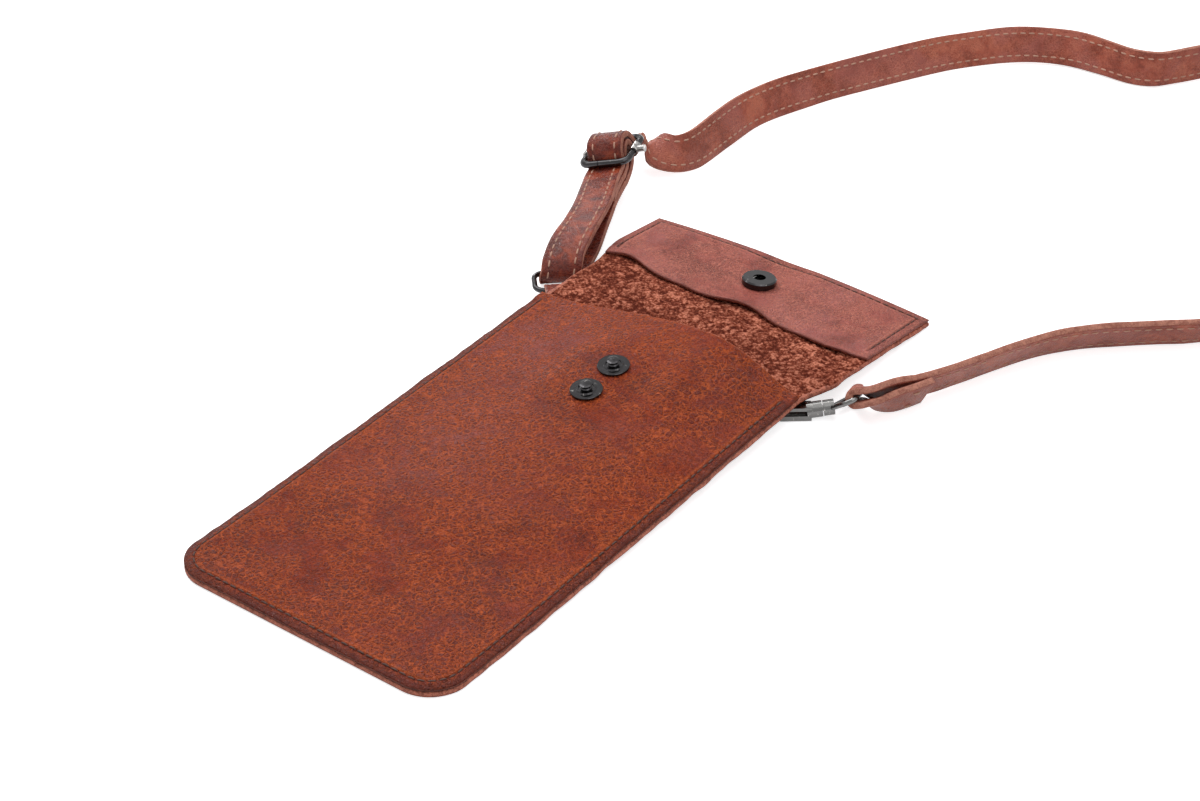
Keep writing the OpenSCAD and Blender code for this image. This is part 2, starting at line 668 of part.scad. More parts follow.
slider_r = slider_wire_d / 2;
slider_bend_r = 3.2;
joint_gap = 0.25;
joint_x = 2;
module slider_frame() color(gunmetal) place() at_slider() difference() {
    wire_loop(slider_half_l, slider_half_w, slider_bend_r, slider_r);
    translate([-joint_x, -slider_half_w - slider_wire_d, -slider_wire_d])
        cube([joint_gap, 2 * slider_wire_d, 2 * slider_wire_d]);
}
collar_r = 1.95;
collar_half = 2.2;
bar_end = 2.2;
module slider_bar() color("gray") place() at_slider() difference() {
    union() {
        rod([-slider_half_l, 0, 0], [slider_half_l, 0, 0], slider_r);
        for (s = [-1, 1])
            rod([s * slider_half_l, -collar_half, 0], [s * slider_half_l, collar_half, 0], collar_r);
        rod([slider_half_l, 0, 0], [slider_half_l + collar_r + bar_end, 0, 0], slider_r);
    }
    for (s = [-1, 1])
        rod([s * slider_half_l, -slider_half_w, 0], [s * slider_half_l, slider_half_w, 0],
            slider_r + running_gap);
}

// Route of the adjusting loop: from behind the slider over its bar, down to the
// left ring, round the ring's far bar, back under itself and round the bar
ring_out_dir = [cos(left_turn), sin(left_turn), 0];
far_bar = left_bar + 2 * ring_half_w * cos(left_dip) * ring_out_dir
    + [0, 0, 2 * ring_half_w * sin(left_dip)];
wrap_r = ring_r + strap_t / 2 + 4 * seat_gap;
function round_far_bar(a) = far_bar + wrap_r * (cos(a) * ring_out_dir + sin(a) * [0, 0, 1]);
ring_across = [sin(left_turn), -cos(left_turn), 0];
over_route = [[11.5, -2.9], [8.8, -2.75], [6.7, -1.9], [5.9, 0.3], [4.8, 3.1], [2.8, 5.1],
    [0, 5.8], [-2.8, 5.1], [-4.8, 3.1], [-5.9, 0.3], [-6.7, -1.9], [-8.8, -2.75], [-12, -3.1]];
down_points = [[-78.5, 245.8, 12], [-71.8, 233.1, 12.4], [-67.3, 221.8, 12.3],
    [-64.6, 213.5, 11.8], [-62.2, 206, 10.4], [-59.9, 200.6, 8.4], [-58.9, 198.3, 5.8]];
down_route = all_beside(-1, down_points);
back_points = [[-61.2, 205.2, 1.8], [-63, 210.5, 2.1], [-65.4, 217.5, 2.8],
    [-69, 226, 3.6], [-72.8, 234.6, 4.8], [-76.4, 242.6, 6]];
back_route = all_beside(-1, back_points);
under_route = [[-12, -8.3], [-8, -7.9], [-3.8, -7.1], [0, -4.9], [2.4, -2.4], [2.8, 0.2],
    [1.7, 2.3], [-0.6, 2.7], [-2.7, 0.9], [-3.4, -1.8], [-4.9, -4.1], [-7, -5.1], [-9.4, -5.5],
    [-12, -5.7]];
tail_points = [[-78, 245.4, 9.4], [-74.6, 238.9, 9.5]];
tail_route = all_beside(-1, tail_points);
loop_route = concat([for (p = over_route) on_slider(p[0], p[1])], down_route,
    [for (a = [180, 225, 270]) round_far_bar(a)], back_route,
    [for (p = under_route) on_slider(p[0], p[1])], tail_route);
loop_path = spline(loop_route, 2);
loop_turn = len(over_route) + len(down_route) + 1;
function loop_width(i) = let(k = i / 2,
    s = smooth(k < loop_turn ? (k - len(over_route) + 1) / (loop_turn - len(over_route))
        : 1 - (k - loop_turn - 1) / len(back_route)))
    (1 - s) * slider_x + s * ring_across;
module adjuster_loop() color(strap_brown) place()
    band(loop_path, [for (i = [0 : len(loop_path) - 1]) loop_width(i)]);

// Route of the free strap from behind the slider to the put-away turns
left_points = [[-88.3, 280, 12.3], [-85, 283.4, 10.6], [-80.2, 285.4, 9],
    [-75.2, 287.4, 7.9], [-73, 293, 7.3], [-72.2, 300, 7.1], [-73, 314.7, 7], [-73.5, 331.4, 7],
    [-71.2, 345.5, 7], [-66.2, 360.9, 7], [-59.2, 378.4, 7], [-43.1, 412.9, 7], [-33, 429, 7],
    [-22.5, 442.3, 7], [-11.9, 450, 7], [0, 454.6, 7], [12.2, 455.1, 7], [24.8, 454.8, 7],
    [33.7, 457.8, 7.2], [39.1, 464.1, 7.4], [45.4, 473.1, 7.8]];
left_start = [13.8, -3.1];
left_route = concat([on_slider(left_start[0], left_start[1])], [for (i = [0 : len(left_points) - 1])
    beside(2 * i / (len(left_points) - 1) - 1, left_points[i])]);

// Put-away turns: a strap doubled on itself and rolled, standing on its edge
tie_t = 0.9;
coil_z = strap_w / 2 + tie_t + 2 * seat_gap;
coil_place = [179, 435, 0];
coil_at = beside(1, coil_place);
coil_start = 70;
coil_turn_in = 120;
coil_turn_out = 200;
coil_step = 15;
function spiral_r(turned) = 2 * core_r + strand_pitch * turned / 180;
function coil_point(r, a) = [coil_at[0] + r * cos(a), coil_at[1] + r * sin(a), coil_z];
function core_point(side, a) = [
    coil_at[0] + side * core_r * cos(coil_start) + core_r * cos(a),
    coil_at[1] + side * core_r * sin(coil_start) + core_r * sin(a), coil_z];
turns_out = [for (u = [coil_turn_out : -coil_step : coil_step / 2])
    coil_point(spiral_r(u), coil_start + 180 + u)];
core_out = [for (a = [180 : -coil_step : coil_step]) core_point(-1, coil_start + a)];
core_in = [for (a = [180 : -coil_step : 0]) core_point(1, coil_start - a)];
turns_in = [for (u = [coil_step : coil_step : coil_turn_in])
    coil_point(spiral_r(u), coil_start + u)];
entry_points = [[45.6, 473.4, 7.8], [50.6, 480.4, 7.9], [60.5, 489.5, 8],
    [76, 496.5, 8], [96, 500, 8], [120, 501, 8], [142, 500.8, 8], [161, 500.2, 8]];
entry_route = all_beside(1, entry_points);
exit_points = [[120.6, 410, 8], [126.5, 388, 8], [136, 363, 7.9], [145, 340, 7.6],
    [147, 322, 7.2], [143.5, 307, 6.9], [135, 296, 6.5]];
exit_route = all_beside(1, exit_points);
coil_path = concat(entry_route, turns_out, core_out, core_in, turns_in, exit_route);

// Least gap between strands that lie at least one width apart along the strap
function travelled(p) = [for (i = 0, s = 0; i < len(p);
    s = s + (i < len(p) - 1 ? norm(p[i + 1] - p[i]) : 0), i = i + 1) s];
coil_run = travelled(coil_path);
coil_gap = min([for (i = [0 : len(coil_path) - 1]) for (j = [i + 1 : 1 : len(coil_path) - 1])
    if (coil_run[j] - coil_run[i] > 2 * core_r) norm(coil_path[j] - coil_path[i])]) - strap_t;
echo(coil_least_gap = coil_gap, coil_length = coil_run[len(coil_path) - 1]);

// Width of a free strap that stands on edge, its top leaning to the left of its way
up = [0, 0, 1];
function on_edge(t, lean) = -(cos(lean) * up + sin(lean) * unit(cross(up, t)));
run_lean = 30;
left_path = spline(left_route, 2);
twist_end = 6;
upright_from = 12;
function left_width(i) = let(k = i / 2, t = tangent(left_path, i), s = smooth(k / twist_end),
    lean = run_lean * (1 - smooth((k - upright_from) / (len(left_route) - upright_from))))
    (1 - s) * slider_x + s * on_edge(t, lean);
module strap_left_run() color(strap_brown) place()
    band(left_path, [for (i = [0 : len(left_path) - 1]) left_width(i)]);

module strap_coil() color(strap_brown) place()
    band(coil_path, [for (i = [0 : len(coil_path) - 1]) let(t = tangent(coil_path, i),
        from_end = len(coil_path) - 1 - i)
        on_edge(t, run_lean * (1 - smooth(from_end / len(exit_route))))]);

right_points = [[133.9, 295.2, 6.5], [125, 287.3, 6.5], [115.8, 278.9, 6.5],
    [109.8, 273.3, 6.5], [104.3, 267.1, 6.5], [99.3, 260.3, 6.5], [95, 252.3, 6.5],
    [90.7, 242.5, 6.5], [87.2, 233, 6.6]];
right_route = all_beside(1, right_points);
module strap_right_run() color(strap_brown) place()
    band(right_route, [for (i = [0 : len(right_route) - 1])
        on_edge(tangent(right_route, i), run_lean)]);

lead_points = [[87, 232.6, 6.6], [84.7, 226.4, 6.7], [81.9, 219.2, 6.8],
    [79.2, 213.2, 7], [77.1, 208.7, 7.15]];
lead_route = all_beside(1, lead_points);
lead_path = spline(lead_route, 2);
module strap_right_lead() color(strap_brown) place()
    band(lead_path, [for (i = [0 : len(lead_path) - 1])
        on_edge(tangent(lead_path, i), run_lean)]);

// Loop round the far bar of the eye
function tilted(p, a) =
    [p[0] * cos(a) - p[2] * sin(a), p[1], p[0] * sin(a) + p[2] * cos(a)];
function eye_dir(p) = let(q = tilted(p, eye_rise + swivel_tilt))
    [q[0] * cos(hook_turn) - q[1] * sin(hook_turn), q[0] * sin(hook_turn) + q[1] * cos(hook_turn),
    q[2]];
block_dir = tilted([1, 0, 0], swivel_tilt);
eye_bar = collar_at + block_to * [block_dir[0] * cos(hook_turn), block_dir[0] * sin(hook_turn),
    block_dir[2]] + (eye_reach - block_to) * eye_dir([1, 0, 0]);
eye_width = eye_dir([0, -sin(eye_lean), cos(eye_lean)]);
eye_face = eye_dir([0, cos(eye_lean), sin(eye_lean)]);
echo(eye_bar = eye_bar, eye_width = eye_width, eye_face = eye_face, right_bar = right_bar);
eye_wrap_r = eye_wire_r + strap_t / 2 + 4 * seat_gap;
function round_eye_bar(a) =
    eye_bar + eye_wrap_r * (cos(a) * eye_dir([1, 0, 0]) + sin(a) * eye_face);
tail_end_points = [[80.8, 210, 6.5], [78.8, 205, 6.4], [76.2, 200, 6.2],
    [73, 195.9, 6], [70.2, 193.5, 6.3]];
tail_end_route = all_beside(1, tail_end_points);
loop_out_points = [[67, 194.4, 10.4], [69.3, 197, 10.4], [71.8, 200, 9.5],
    [74.2, 203.2, 8.3], [76.3, 207, 7.3]];
loop_out_route = all_beside(1, loop_out_points);
end_route = concat(tail_end_route, [for (a = [-90, -135, -180, -225, -270]) round_eye_bar(a)],
    loop_out_route);
end_path = spline(end_route, 2);
tail_ends = len(tail_end_route);
wrap_ends = tail_ends + 4;
run_width = on_edge([-0.37, -0.93, 0], run_lean);
function end_width(i) = let(k = i / 2,
    s = k < tail_ends ? smooth(k / tail_ends)
        : 1 - smooth((k - wrap_ends) / len(loop_out_route)))
    s * eye_width - (1 - s) * run_width;
stitch_place = [77.2, 205.1, 6.8];
stitch_at = beside(1, stitch_place);
stitch_dir = unit([-0.805, 0.32, 0.5]);
stitch_half = 4.2;
stitch_r = 0.4;
stitch_reach = 1.25;
module end_stitches(r, reach) for (s = [-1, 1]) {
    mid = stitch_at + s * stitch_half * run_width;
    rod(mid - reach * strap_t * stitch_dir, mid + reach * strap_t * stitch_dir, r);
}
module strap_end_loop() color(strap_brown) place() difference() {
    band(end_path, [for (i = [0 : len(end_path) - 1]) end_width(i)]);
    end_stitches(stitch_r + seat_gap, 2 * stitch_reach);
}
module end_loop_thread() color(thread_pale) place() end_stitches(stitch_r, stitch_reach);

// Tie round two neighbouring strands of the roll; it stands on the table
tie_angle = 80;
tie_w = 6;
module strap_tie() color(strap_brown) place()
    translate([coil_at[0], coil_at[1], 0]) rotate(tie_angle) {
        near = spiral_r(tie_angle - coil_start) * cos(coil_step / 2) - strap_t / 2 - 6 * seat_gap;
        far = spiral_r(180 + tie_angle - coil_start) + strap_t / 2 + 4 * seat_gap;
        inner_h = strap_w + 4 * seat_gap;
        translate([0, tie_w / 2, 0]) rotate([90, 0, 0]) linear_extrude(tie_w) difference() {
            translate([near - tie_t, 0]) square([far - near + 2 * tie_t, inner_h + 2 * tie_t]);
            translate([near, tie_t]) square([far - near, inner_h]);
        }
    }

back_panel();
front_panel();
pocket_seam_thread();
snap_studs();
stud_eyelets();
fold_strip();
flap_panel();
flap_facing();
flap_seam_thread();
snap_socket();
socket_spring();
snap_cap();
ring_tab_left();
ring_tab_right();
tab_rivets();
ring_left();
ring_right();
hook_body();
hook_bolt();
bolt_spring();
swivel_eye();
strap_end_loop();
end_loop_thread();
strap_right_lead();
strap_right_run();
strap_coil();
strap_left_run();
strap_tie();
slider_frame();
slider_bar();
adjuster_loop();
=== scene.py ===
"""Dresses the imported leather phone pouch: leather shells, stitched straps, stage and camera."""

import json
import logging
import math
from dataclasses import dataclass, field
from enum import Enum, IntEnum
from typing import Callable, Sequence

import bpy
import numpy as np
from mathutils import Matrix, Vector

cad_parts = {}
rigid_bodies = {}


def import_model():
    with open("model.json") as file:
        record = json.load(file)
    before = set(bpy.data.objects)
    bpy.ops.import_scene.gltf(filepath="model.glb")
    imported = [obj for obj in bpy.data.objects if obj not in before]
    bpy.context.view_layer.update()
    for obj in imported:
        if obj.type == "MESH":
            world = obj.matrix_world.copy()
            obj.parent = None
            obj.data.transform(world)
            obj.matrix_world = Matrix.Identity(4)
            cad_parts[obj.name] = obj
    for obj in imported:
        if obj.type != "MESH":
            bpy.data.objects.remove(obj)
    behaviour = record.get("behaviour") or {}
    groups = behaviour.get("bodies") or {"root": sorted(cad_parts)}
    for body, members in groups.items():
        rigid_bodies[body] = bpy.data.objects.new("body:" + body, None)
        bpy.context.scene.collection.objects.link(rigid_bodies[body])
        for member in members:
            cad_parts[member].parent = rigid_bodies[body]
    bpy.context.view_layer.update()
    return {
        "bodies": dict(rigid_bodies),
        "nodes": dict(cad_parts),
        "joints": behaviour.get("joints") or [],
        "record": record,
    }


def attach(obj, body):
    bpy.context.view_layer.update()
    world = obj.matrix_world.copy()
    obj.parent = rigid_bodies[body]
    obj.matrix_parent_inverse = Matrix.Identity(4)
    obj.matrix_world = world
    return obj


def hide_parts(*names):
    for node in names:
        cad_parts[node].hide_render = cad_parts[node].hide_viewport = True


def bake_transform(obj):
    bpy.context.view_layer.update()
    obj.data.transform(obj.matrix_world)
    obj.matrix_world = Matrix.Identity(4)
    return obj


Array = np.ndarray
Point = Sequence[float]
Colour = tuple[float, float, float]
Material = bpy.types.Material
Object = bpy.types.Object

log = logging.getLogger("pouch")

MM = 0.001
# The row frame's origin, in the pouch's own millimetres
FRAME_MM = np.array([-3.335, 138.33, 0.0])
UP = np.array([0.0, 0.0, 1.0])

# Sizes of the pouch in millimetres, as in the part's source
POUCH_W = 105.0
POUCH_L = 179.5
LEATHER_T = 2.0
CORNER_R = 13.0
MOUTH_RISE = 10.2
SEAM_MARGIN = 3.5
SEAM_INSET = 3.0
LIFT_H = 5.5
REST_L = 20.0
REST_SOFT = 30.0
HALF_W = POUCH_W / 2
FLAP_END = POUCH_L + 72.8
FLAP_FLARE = 4.0
FACING_T = 1.3
FACING_START = FLAP_END - 38.5
DROP_START = POUCH_L + 21.0
STUD_Y = POUCH_L - 29.2
STUD_LOW_Y = STUD_Y - 14.3
SOCKET_Y = POUCH_L + 53.5
STRAP_W = 14.0
STRAP_T = 2.4
RING_WIRE_R = 0.95
EYE_WIRE_R = 0.9

# Rays that see the plain background as white
SEEN_BY = ("Camera", "Glossy", "Transmission")


def row(points: Array | Point) -> Array:
    """Moves points from the pouch's millimetres to the row frame's metres."""
    return (np.asarray(points, float) - FRAME_MM) * MM


def unit(v: Array) -> Array:
    """Scales one vector to length 1."""
    return np.asarray(v, float) / np.linalg.norm(v)


def smooth(t: Array | float) -> Array:
    """Eases from 0 to 1 as t goes from 0 to 1."""
    u = np.clip(t, 0.0, 1.0)
    return u * u * (3 - 2 * u)


class Kind(Enum):
    """What a shader socket carries."""

    VALUE = "value"
    VECTOR = "vector"
    COLOUR = "colour"


class CellPart(Enum):
    """What a pattern of cells is measured from."""

    MIDDLE = "F1"
    RIM = "DISTANCE_TO_EDGE"


class SeamEnd(Enum):
    """The end of a sheet that its seam runs along, as it does along both sides."""

    NONE = "no seam"
    START = "start"
    END = "end"


class Layer(IntEnum):
    """The finish that a face of a sheet takes, as its place in the list of materials."""

    TOP = 0
    UNDER = 1
    EDGE = 2


class Side(Enum):
    """A side of the pouch, seen from above."""

    LEFT = "left"
    RIGHT = "right"


class Signal:
    """A shader socket that takes part in Python expressions."""

    def __init__(self, shader: "Shader", socket: bpy.types.NodeSocket, kind: Kind) -> None:
        """Keeps the socket, its shader and what it carries."""
        self.shader = shader
        self.socket = socket
        self.kind = kind

    def _combine(self, operation: str, left: "Term", right: "Term") -> "Signal":
        """Adds the node that works out one operation.

        Args:
            operation: A Math, Vector Math or Mix operation's name.
            left: The first term.
            right: The second term.

        Returns:
            The node's output.
        """
        kinds = [t.kind for t in (left, right) if isinstance(t, Signal)]
        if Kind.COLOUR in kinds:
            return self.shader.mix(1.0, left, right, operation)
        if Kind.VECTOR in kinds:
            if operation == "MULTIPLY" and not isinstance(right, (tuple, Signal)):
                made = self.shader.node("ShaderNodeVectorMath", {"operation": "SCALE"},
                                        {"Vector": left, "Scale": right})
            else:
                made = self.shader.node("ShaderNodeVectorMath", {"operation": operation},
                                        {0: left, 1: right})
            return Signal(self.shader, made.outputs["Vector"], Kind.VECTOR)
        made = self.shader.node("ShaderNodeMath", {"operation": operation}, {0: left, 1: right})
        return Signal(self.shader, made.outputs[0], Kind.VALUE)

    def __add__(self, other: "Term") -> "Signal":
        """Adds a term."""
        return self._combine("ADD", self, other)

    def __radd__(self, other: "Term") -> "Signal":
        """Adds to a term."""
        return self._combine("ADD", other, self)

    def __sub__(self, other: "Term") -> "Signal":
        """Subtracts a term."""
        return self._combine("SUBTRACT", self, other)

    def __rsub__(self, other: "Term") -> "Signal":
        """Subtracts from a term."""
        return self._combine("SUBTRACT", other, self)

    def __mul__(self, other: "Term") -> "Signal":
        """Multiplies by a term."""
        return self._combine("MULTIPLY", self, other)

    def __rmul__(self, other: "Term") -> "Signal":
        """Multiplies a term."""
        return self._combine("MULTIPLY", other, self)

    def __abs__(self) -> "Signal":
        """Drops the sign."""
        return self._combine("ABSOLUTE", self, 0.0)


Term = Signal | float | tuple


class Shader:
    """Builds the node tree of one material, or of the world."""

    def __init__(self, name: str, world: bool = False) -> None:
        """Starts an empty node tree with its output."""
        library, kind = (bpy.data.worlds, "World") if world else (bpy.data.materials, "Material")
        self.owner = library.new(name)
        self.owner.use_nodes = True
        self.tree = self.owner.node_tree
        self.tree.nodes.clear()
        self.output = self.node(f"ShaderNodeOutput{kind}")

    def node(self, kind: str, settings: dict | None = None,
             inputs: dict | None = None) -> bpy.types.Node:
        """Adds any node.

        Args:
            kind: The node's type.
            settings: The node's properties, set first; "stops" sets a ramp's stops.
            inputs: Values or links by socket name or index.

        Returns:
            The new node.
        """
        made = self.tree.nodes.new(kind)
        for key, value in (settings or {}).items():
            if key == "stops":
                self._set_stops(made.color_ramp, value)
            else:
                setattr(made, key, value)
        for key, value in (inputs or {}).items():
            socket = made.inputs[key]
            if isinstance(value, Signal):
                self.tree.links.new(value.socket, socket)
            elif isinstance(value, bpy.types.NodeSocket):
                self.tree.links.new(value, socket)
            elif isinstance(value, tuple) and socket.type == "RGBA":
                socket.default_value = (*value[:3], 1.0)
            else:
                socket.default_value = value
        return made

    @staticmethod
    def _set_stops(ramp: bpy.types.ColorRamp, stops: Sequence[tuple[float, Colour]]) -> None:
        """Gives a ramp its stops, each a place and a colour."""
        while len(ramp.elements) < len(stops):
            ramp.elements.new(0.5)
        for element, (place, colour) in zip(ramp.elements, stops):
            element.position = place
            element.color = (*colour, 1.0)

    def mix(self, factor: Term, a: Term, b: Term, blend: str = "MIX") -> Signal:
        """Mixes two colours, by how much of b shows and the way they are blended."""
        made = self.node("ShaderNodeMix", {"data_type": "RGBA", "blend_type": blend},
                         {0: factor, 6: a, 7: b})
        return Signal(self, made.outputs[2], Kind.COLOUR)

    def place(self) -> Signal:
        """Gives the place on the object in millimetres of the row frame."""
        coords = self.node("ShaderNodeTexCoord")
        return Signal(self, coords.outputs["Object"], Kind.VECTOR) * (1 / MM)

    def noise(self, place: Signal, size: float, detail: float = 3.0, rough: float = 0.5,
              warp: float = 0.0) -> Signal:
        """Gives a cloudy pattern from 0 to 1, with clouds of a size in millimetres."""
        made = self.node("ShaderNodeTexNoise", {"normalize": True},
                         {"Vector": place, "Scale": 1 / size, "Detail": detail,
                          "Roughness": rough, "Distortion": warp})
        return Signal(self, made.outputs["Fac"], Kind.VALUE)

    def cells(self, place: Signal, size: float, part: CellPart) -> Signal:
        """Gives the distance, from 0, to a part of rounded cells of a size."""
        made = self.node("ShaderNodeTexVoronoi", {"feature": part.value},
                         {"Vector": place, "Scale": 1 / size})
        return Signal(self, made.outputs["Distance"], Kind.VALUE)

    def wobble(self, place: Signal, size: float, reach: float) -> Signal:
        """Gives a small random shift of the place.

        Args:
            place: Where on the object, in millimetres.
            size: Size of one wave in millimetres.
            reach: How far it shifts, in millimetres.

        Returns:
            The shift.
        """
        made = self.node("ShaderNodeTexNoise", {},
                         {"Vector": place, "Scale": 1 / size, "Detail": 2.0})
        colour = Signal(self, made.outputs["Color"], Kind.VECTOR)
        return (colour - (0.5, 0.5, 0.5)) * (2 * reach)

    def span(self, value: Signal, low: float, high: float, to_low: float = 0.0,
             to_high: float = 1.0) -> Signal:
        """Maps a value smoothly from the range low to high to another range."""
        made = self.node("ShaderNodeMapRange", {"interpolation_type": "SMOOTHSTEP"},
                         {"Value": value, "From Min": low, "From Max": high,
                          "To Min": to_low, "To Max": to_high})
        return Signal(self, made.outputs["Result"], Kind.VALUE)

    def ramp(self, value: Signal, stops: Sequence[tuple[float, Colour]]) -> Signal:
        """Colours a value from 0 to 1 by a ramp of places and colours."""
        made = self.node("ShaderNodeValToRGB", {"stops": stops}, {"Fac": value})
        return Signal(self, made.outputs["Color"], Kind.COLOUR)

    def wear_and_painted_light(self, name: str) -> Signal:
        """Reads a value that a mesh carries at its points."""
        made = self.node("ShaderNodeAttribute", {"attribute_name": name})
        return Signal(self, made.outputs["Fac"], Kind.VALUE)

    def bump(self, height: Signal, distance: float) -> Signal:
        """Turns a height from 0 to 1 into a normal, 1 being a distance in millimetres."""
        made = self.node("ShaderNodeBump", {}, {"Height": height, "Distance": distance * MM})
        return Signal(self, made.outputs["Normal"], Kind.VECTOR)

    def close(self, surface: bpy.types.Node) -> Material | bpy.types.World:
        """Joins a surface or background to the output, and gives the material or world."""
        self.tree.links.new(surface.outputs[0], self.output.inputs["Surface"])
        return self.owner

    def finish(self, inputs: dict) -> Material:
        """Closes the material with its surface, of these values or links."""
        return self.close(self.node("ShaderNodeBsdfPrincipled", {}, inputs))


@dataclass(frozen=True)
class GrainLeather:
    """Waxed grain side: dark pebbles in a paler net of creases, under soft clouds, with a painted
    mauve sheen in patches.
    """

    name: str
    deep: Colour
    middle: Colour
    bright: Colour
    net: Colour
    # Paler mauve colour of a painted sheen
    painted_sheen: Colour
    # Colour of rubbed edges, also used for painted shade in the seam's groove and a painted sheen
    # on its margin
    rubbed_and_shaded: Colour = (0.1, 0.024, 0.018)
    cloud: float = 30.0
    pebble: float = 1.8
    relief: float = 0.3
    net_share: float = 0.9
    pit_share: float = 1.0
    painted_sheen_share: float = 0.4
    roughness: float = 0.36
    shine: float = 0.14

    def build(self) -> Material:
        """Makes the material."""
        s = Shader(self.name)
        place = s.place()
        clouds = s.noise(place, self.cloud, 4, 0.55, 0.6)
        blots = s.noise(place + (31.0, 7.0, 3.0), self.cloud * 0.36, 5, 0.62, 0.9)
        tone = s.span(clouds * 0.55 + blots * 0.45, 0.38, 0.62)
        base = s.ramp(tone, [(0.0, self.deep), (0.5, self.middle), (1.0, self.bright)])
        # Painted sheen: the paler mauve colour, mixed in random patches and where the mesh's sheen
        # value asks for it
        sheen_patches = s.noise(place + (5.0, 90.0, 11.0), self.cloud * 1.2, 3, 0.5, 0.4)
        painted_sheen = s.span(sheen_patches, 0.45, 0.62) * self.painted_sheen_share + s.wear_and_painted_light("sheen")
        base = s.mix(painted_sheen, base, self.painted_sheen)
        loose = place + s.wobble(place, self.pebble * 1.7, self.pebble * 0.5)
        rim = s.cells(loose, self.pebble, CellPart.RIM)
        small = s.cells(loose + (3.0, 1.0, 7.0), self.pebble * 0.5, CellPart.RIM)
        cell, fine = s.span(rim, 0.03, 0.22), s.span(small, 0.0, 0.24)
        shown = s.span(s.noise(place + (60.0, 8.0, 2.0), 14.0, 4, 0.6, 0.8), 0.36, 0.56, 0.3, 1.0)
        drawn = s.span(s.noise(loose, 1.3, 4, 0.65, 1.0), 0.4, 0.6)
        veins = s.noise(loose + (2.0, 50.0, 9.0), 4.2, 4, 0.55, 1.1)
        vein = s.span(abs(veins - 0.5), 0.0, 0.022, 1.0, 0.0)
        base = s.mix(cell * shown * (0.25 + 0.55 * drawn) * self.pit_share, base, self.deep)
        base = s.mix((1 - cell) * shown * (0.45 + 0.55 * drawn) * self.net_share, base, self.net)
        base = s.mix((1 - fine) * shown * self.net_share * 0.4, base, self.net)
        base = s.mix(vein * shown * self.net_share * 0.6, base, self.net)
        grit = s.span(s.noise(loose + (12.0, 4.0, 70.0), 0.75, 3, 0.6, 0.7), 0.46, 0.6)
        base = s.mix(grit * self.pit_share * 0.45, base, self.deep)
        # Rubbed edges darken, as do the seam's groove as painted shade, its pressed margin as
        # painted sheen and the underside as painted shade
        base = s.mix(s.wear_and_painted_light("rub"), base, self.rubbed_and_shaded)
        base = s.mix(s.wear_and_painted_light("lit"), base, self.net)
        height = cell * shown * 0.8 + fine * 0.3 + drawn * 0.3 - vein * 0.4 + clouds * 0.6
        rough = s.span((1 - cell) * 0.5 + blots * 0.5, 0.2, 0.8, self.roughness,
                       self.roughness + 0.2)
        return s.finish({"Base Color": base, "Roughness": rough,
                         "Normal": s.bump(height, self.relief), "Specular IOR Level": self.shine})


@dataclass(frozen=True)
class FleshSide:
    """Napped flesh side: short curled fibres in clumps, paler at their tips and darker in their
    pits, partly fibre colour and partly painted highlight and shade.
    """

    name: str
    # Colours from pit to tip: the pit's darkness is partly painted shade, the tip's paleness partly
    # a painted highlight
    pit: Colour
    middle: Colour
    tip: Colour
    nap: float = 0.95
    relief: float = 0.34

    def build(self) -> Material:
        """Makes the material."""
        s = Shader(self.name)
        place = s.place()
        loose = place + s.wobble(place, 1.0, 0.6)
        fibres = s.noise(loose, self.nap * 0.75, 5, 0.72, 1.2)
        crumbs = 1 - s.cells(loose, self.nap, CellPart.MIDDLE)
        # The tone follows the nap's height, as the bump does, so dark pits are partly painted shade
        # and pale tips partly painted highlight
        tone = s.span(s.wear_and_painted_light("nap") * 0.22 + fibres * 0.48 + crumbs * 0.3, 0.34, 0.68)
        base = s.ramp(tone, [(0.0, self.pit), (0.5, self.middle), (1.0, self.tip)])
        patch = s.span(s.noise(place, 16.0, 3, 0.5, 0.4), 0.42, 0.66)
        base = s.mix(patch * 0.2, base, self.pit)
        return s.finish({"Base Color": base, "Roughness": 0.95,
                         "Normal": s.bump(tone + fibres * 0.5, self.relief),
                         "Specular IOR Level": 0.1})


@dataclass(frozen=True)
class RawEdge:
    """Cut edge of the leather, with fibres along its thickness."""

    name: str
    pale: Colour
    dark: Colour

    def build(self) -> Material:
        """Makes the material."""
        s = Shader(self.name)
        place = s.place()
        fibres = s.noise(place, 0.6, 5, 0.7, 0.8)
        layers = s.noise(place, 2.6, 3, 0.55, 0.6)
        tone = s.span(fibres * 0.6 + layers * 0.4, 0.38, 0.62)
        base = s.ramp(tone, [(0.0, self.dark), (0.55, self.pale),
                             (1.0, tuple(min(1.0, 1.35 * c) for c in self.pale))])
        # Darker at the top where the edge is rubbed, and where the margin's painted sheen reaches
        # it
        base = s.mix(s.wear_and_painted_light("rub"), base, tuple(0.35 * c for c in self.dark))
        return s.finish({"Base Color": base, "Roughness": 0.75,
                         "Normal": s.bump(fibres + layers, 0.16), "Specular IOR Level": 0.3})


@dataclass(frozen=True)
class Thread:
    """Waxed sewing thread with a light twist."""

    name: str
    colour: Colour

    def build(self) -> Material:
        """Makes the material."""
        s = Shader(self.name)
        place = s.place()
        twist = s.noise(place, 0.22, 2, 0.5, 0.5)
        soil = s.span(s.noise(place, 9.0, 3, 0.6, 0.3), 0.4, 0.7)
        base = s.mix(twist * 0.5, self.colour, tuple(0.6 * c for c in self.colour))
        base = s.mix(soil * 0.45, base, tuple(0.55 * c for c in self.colour))
        return s.finish({"Base Color": base, "Roughness": 0.65, "Normal": s.bump(twist, 0.08)})


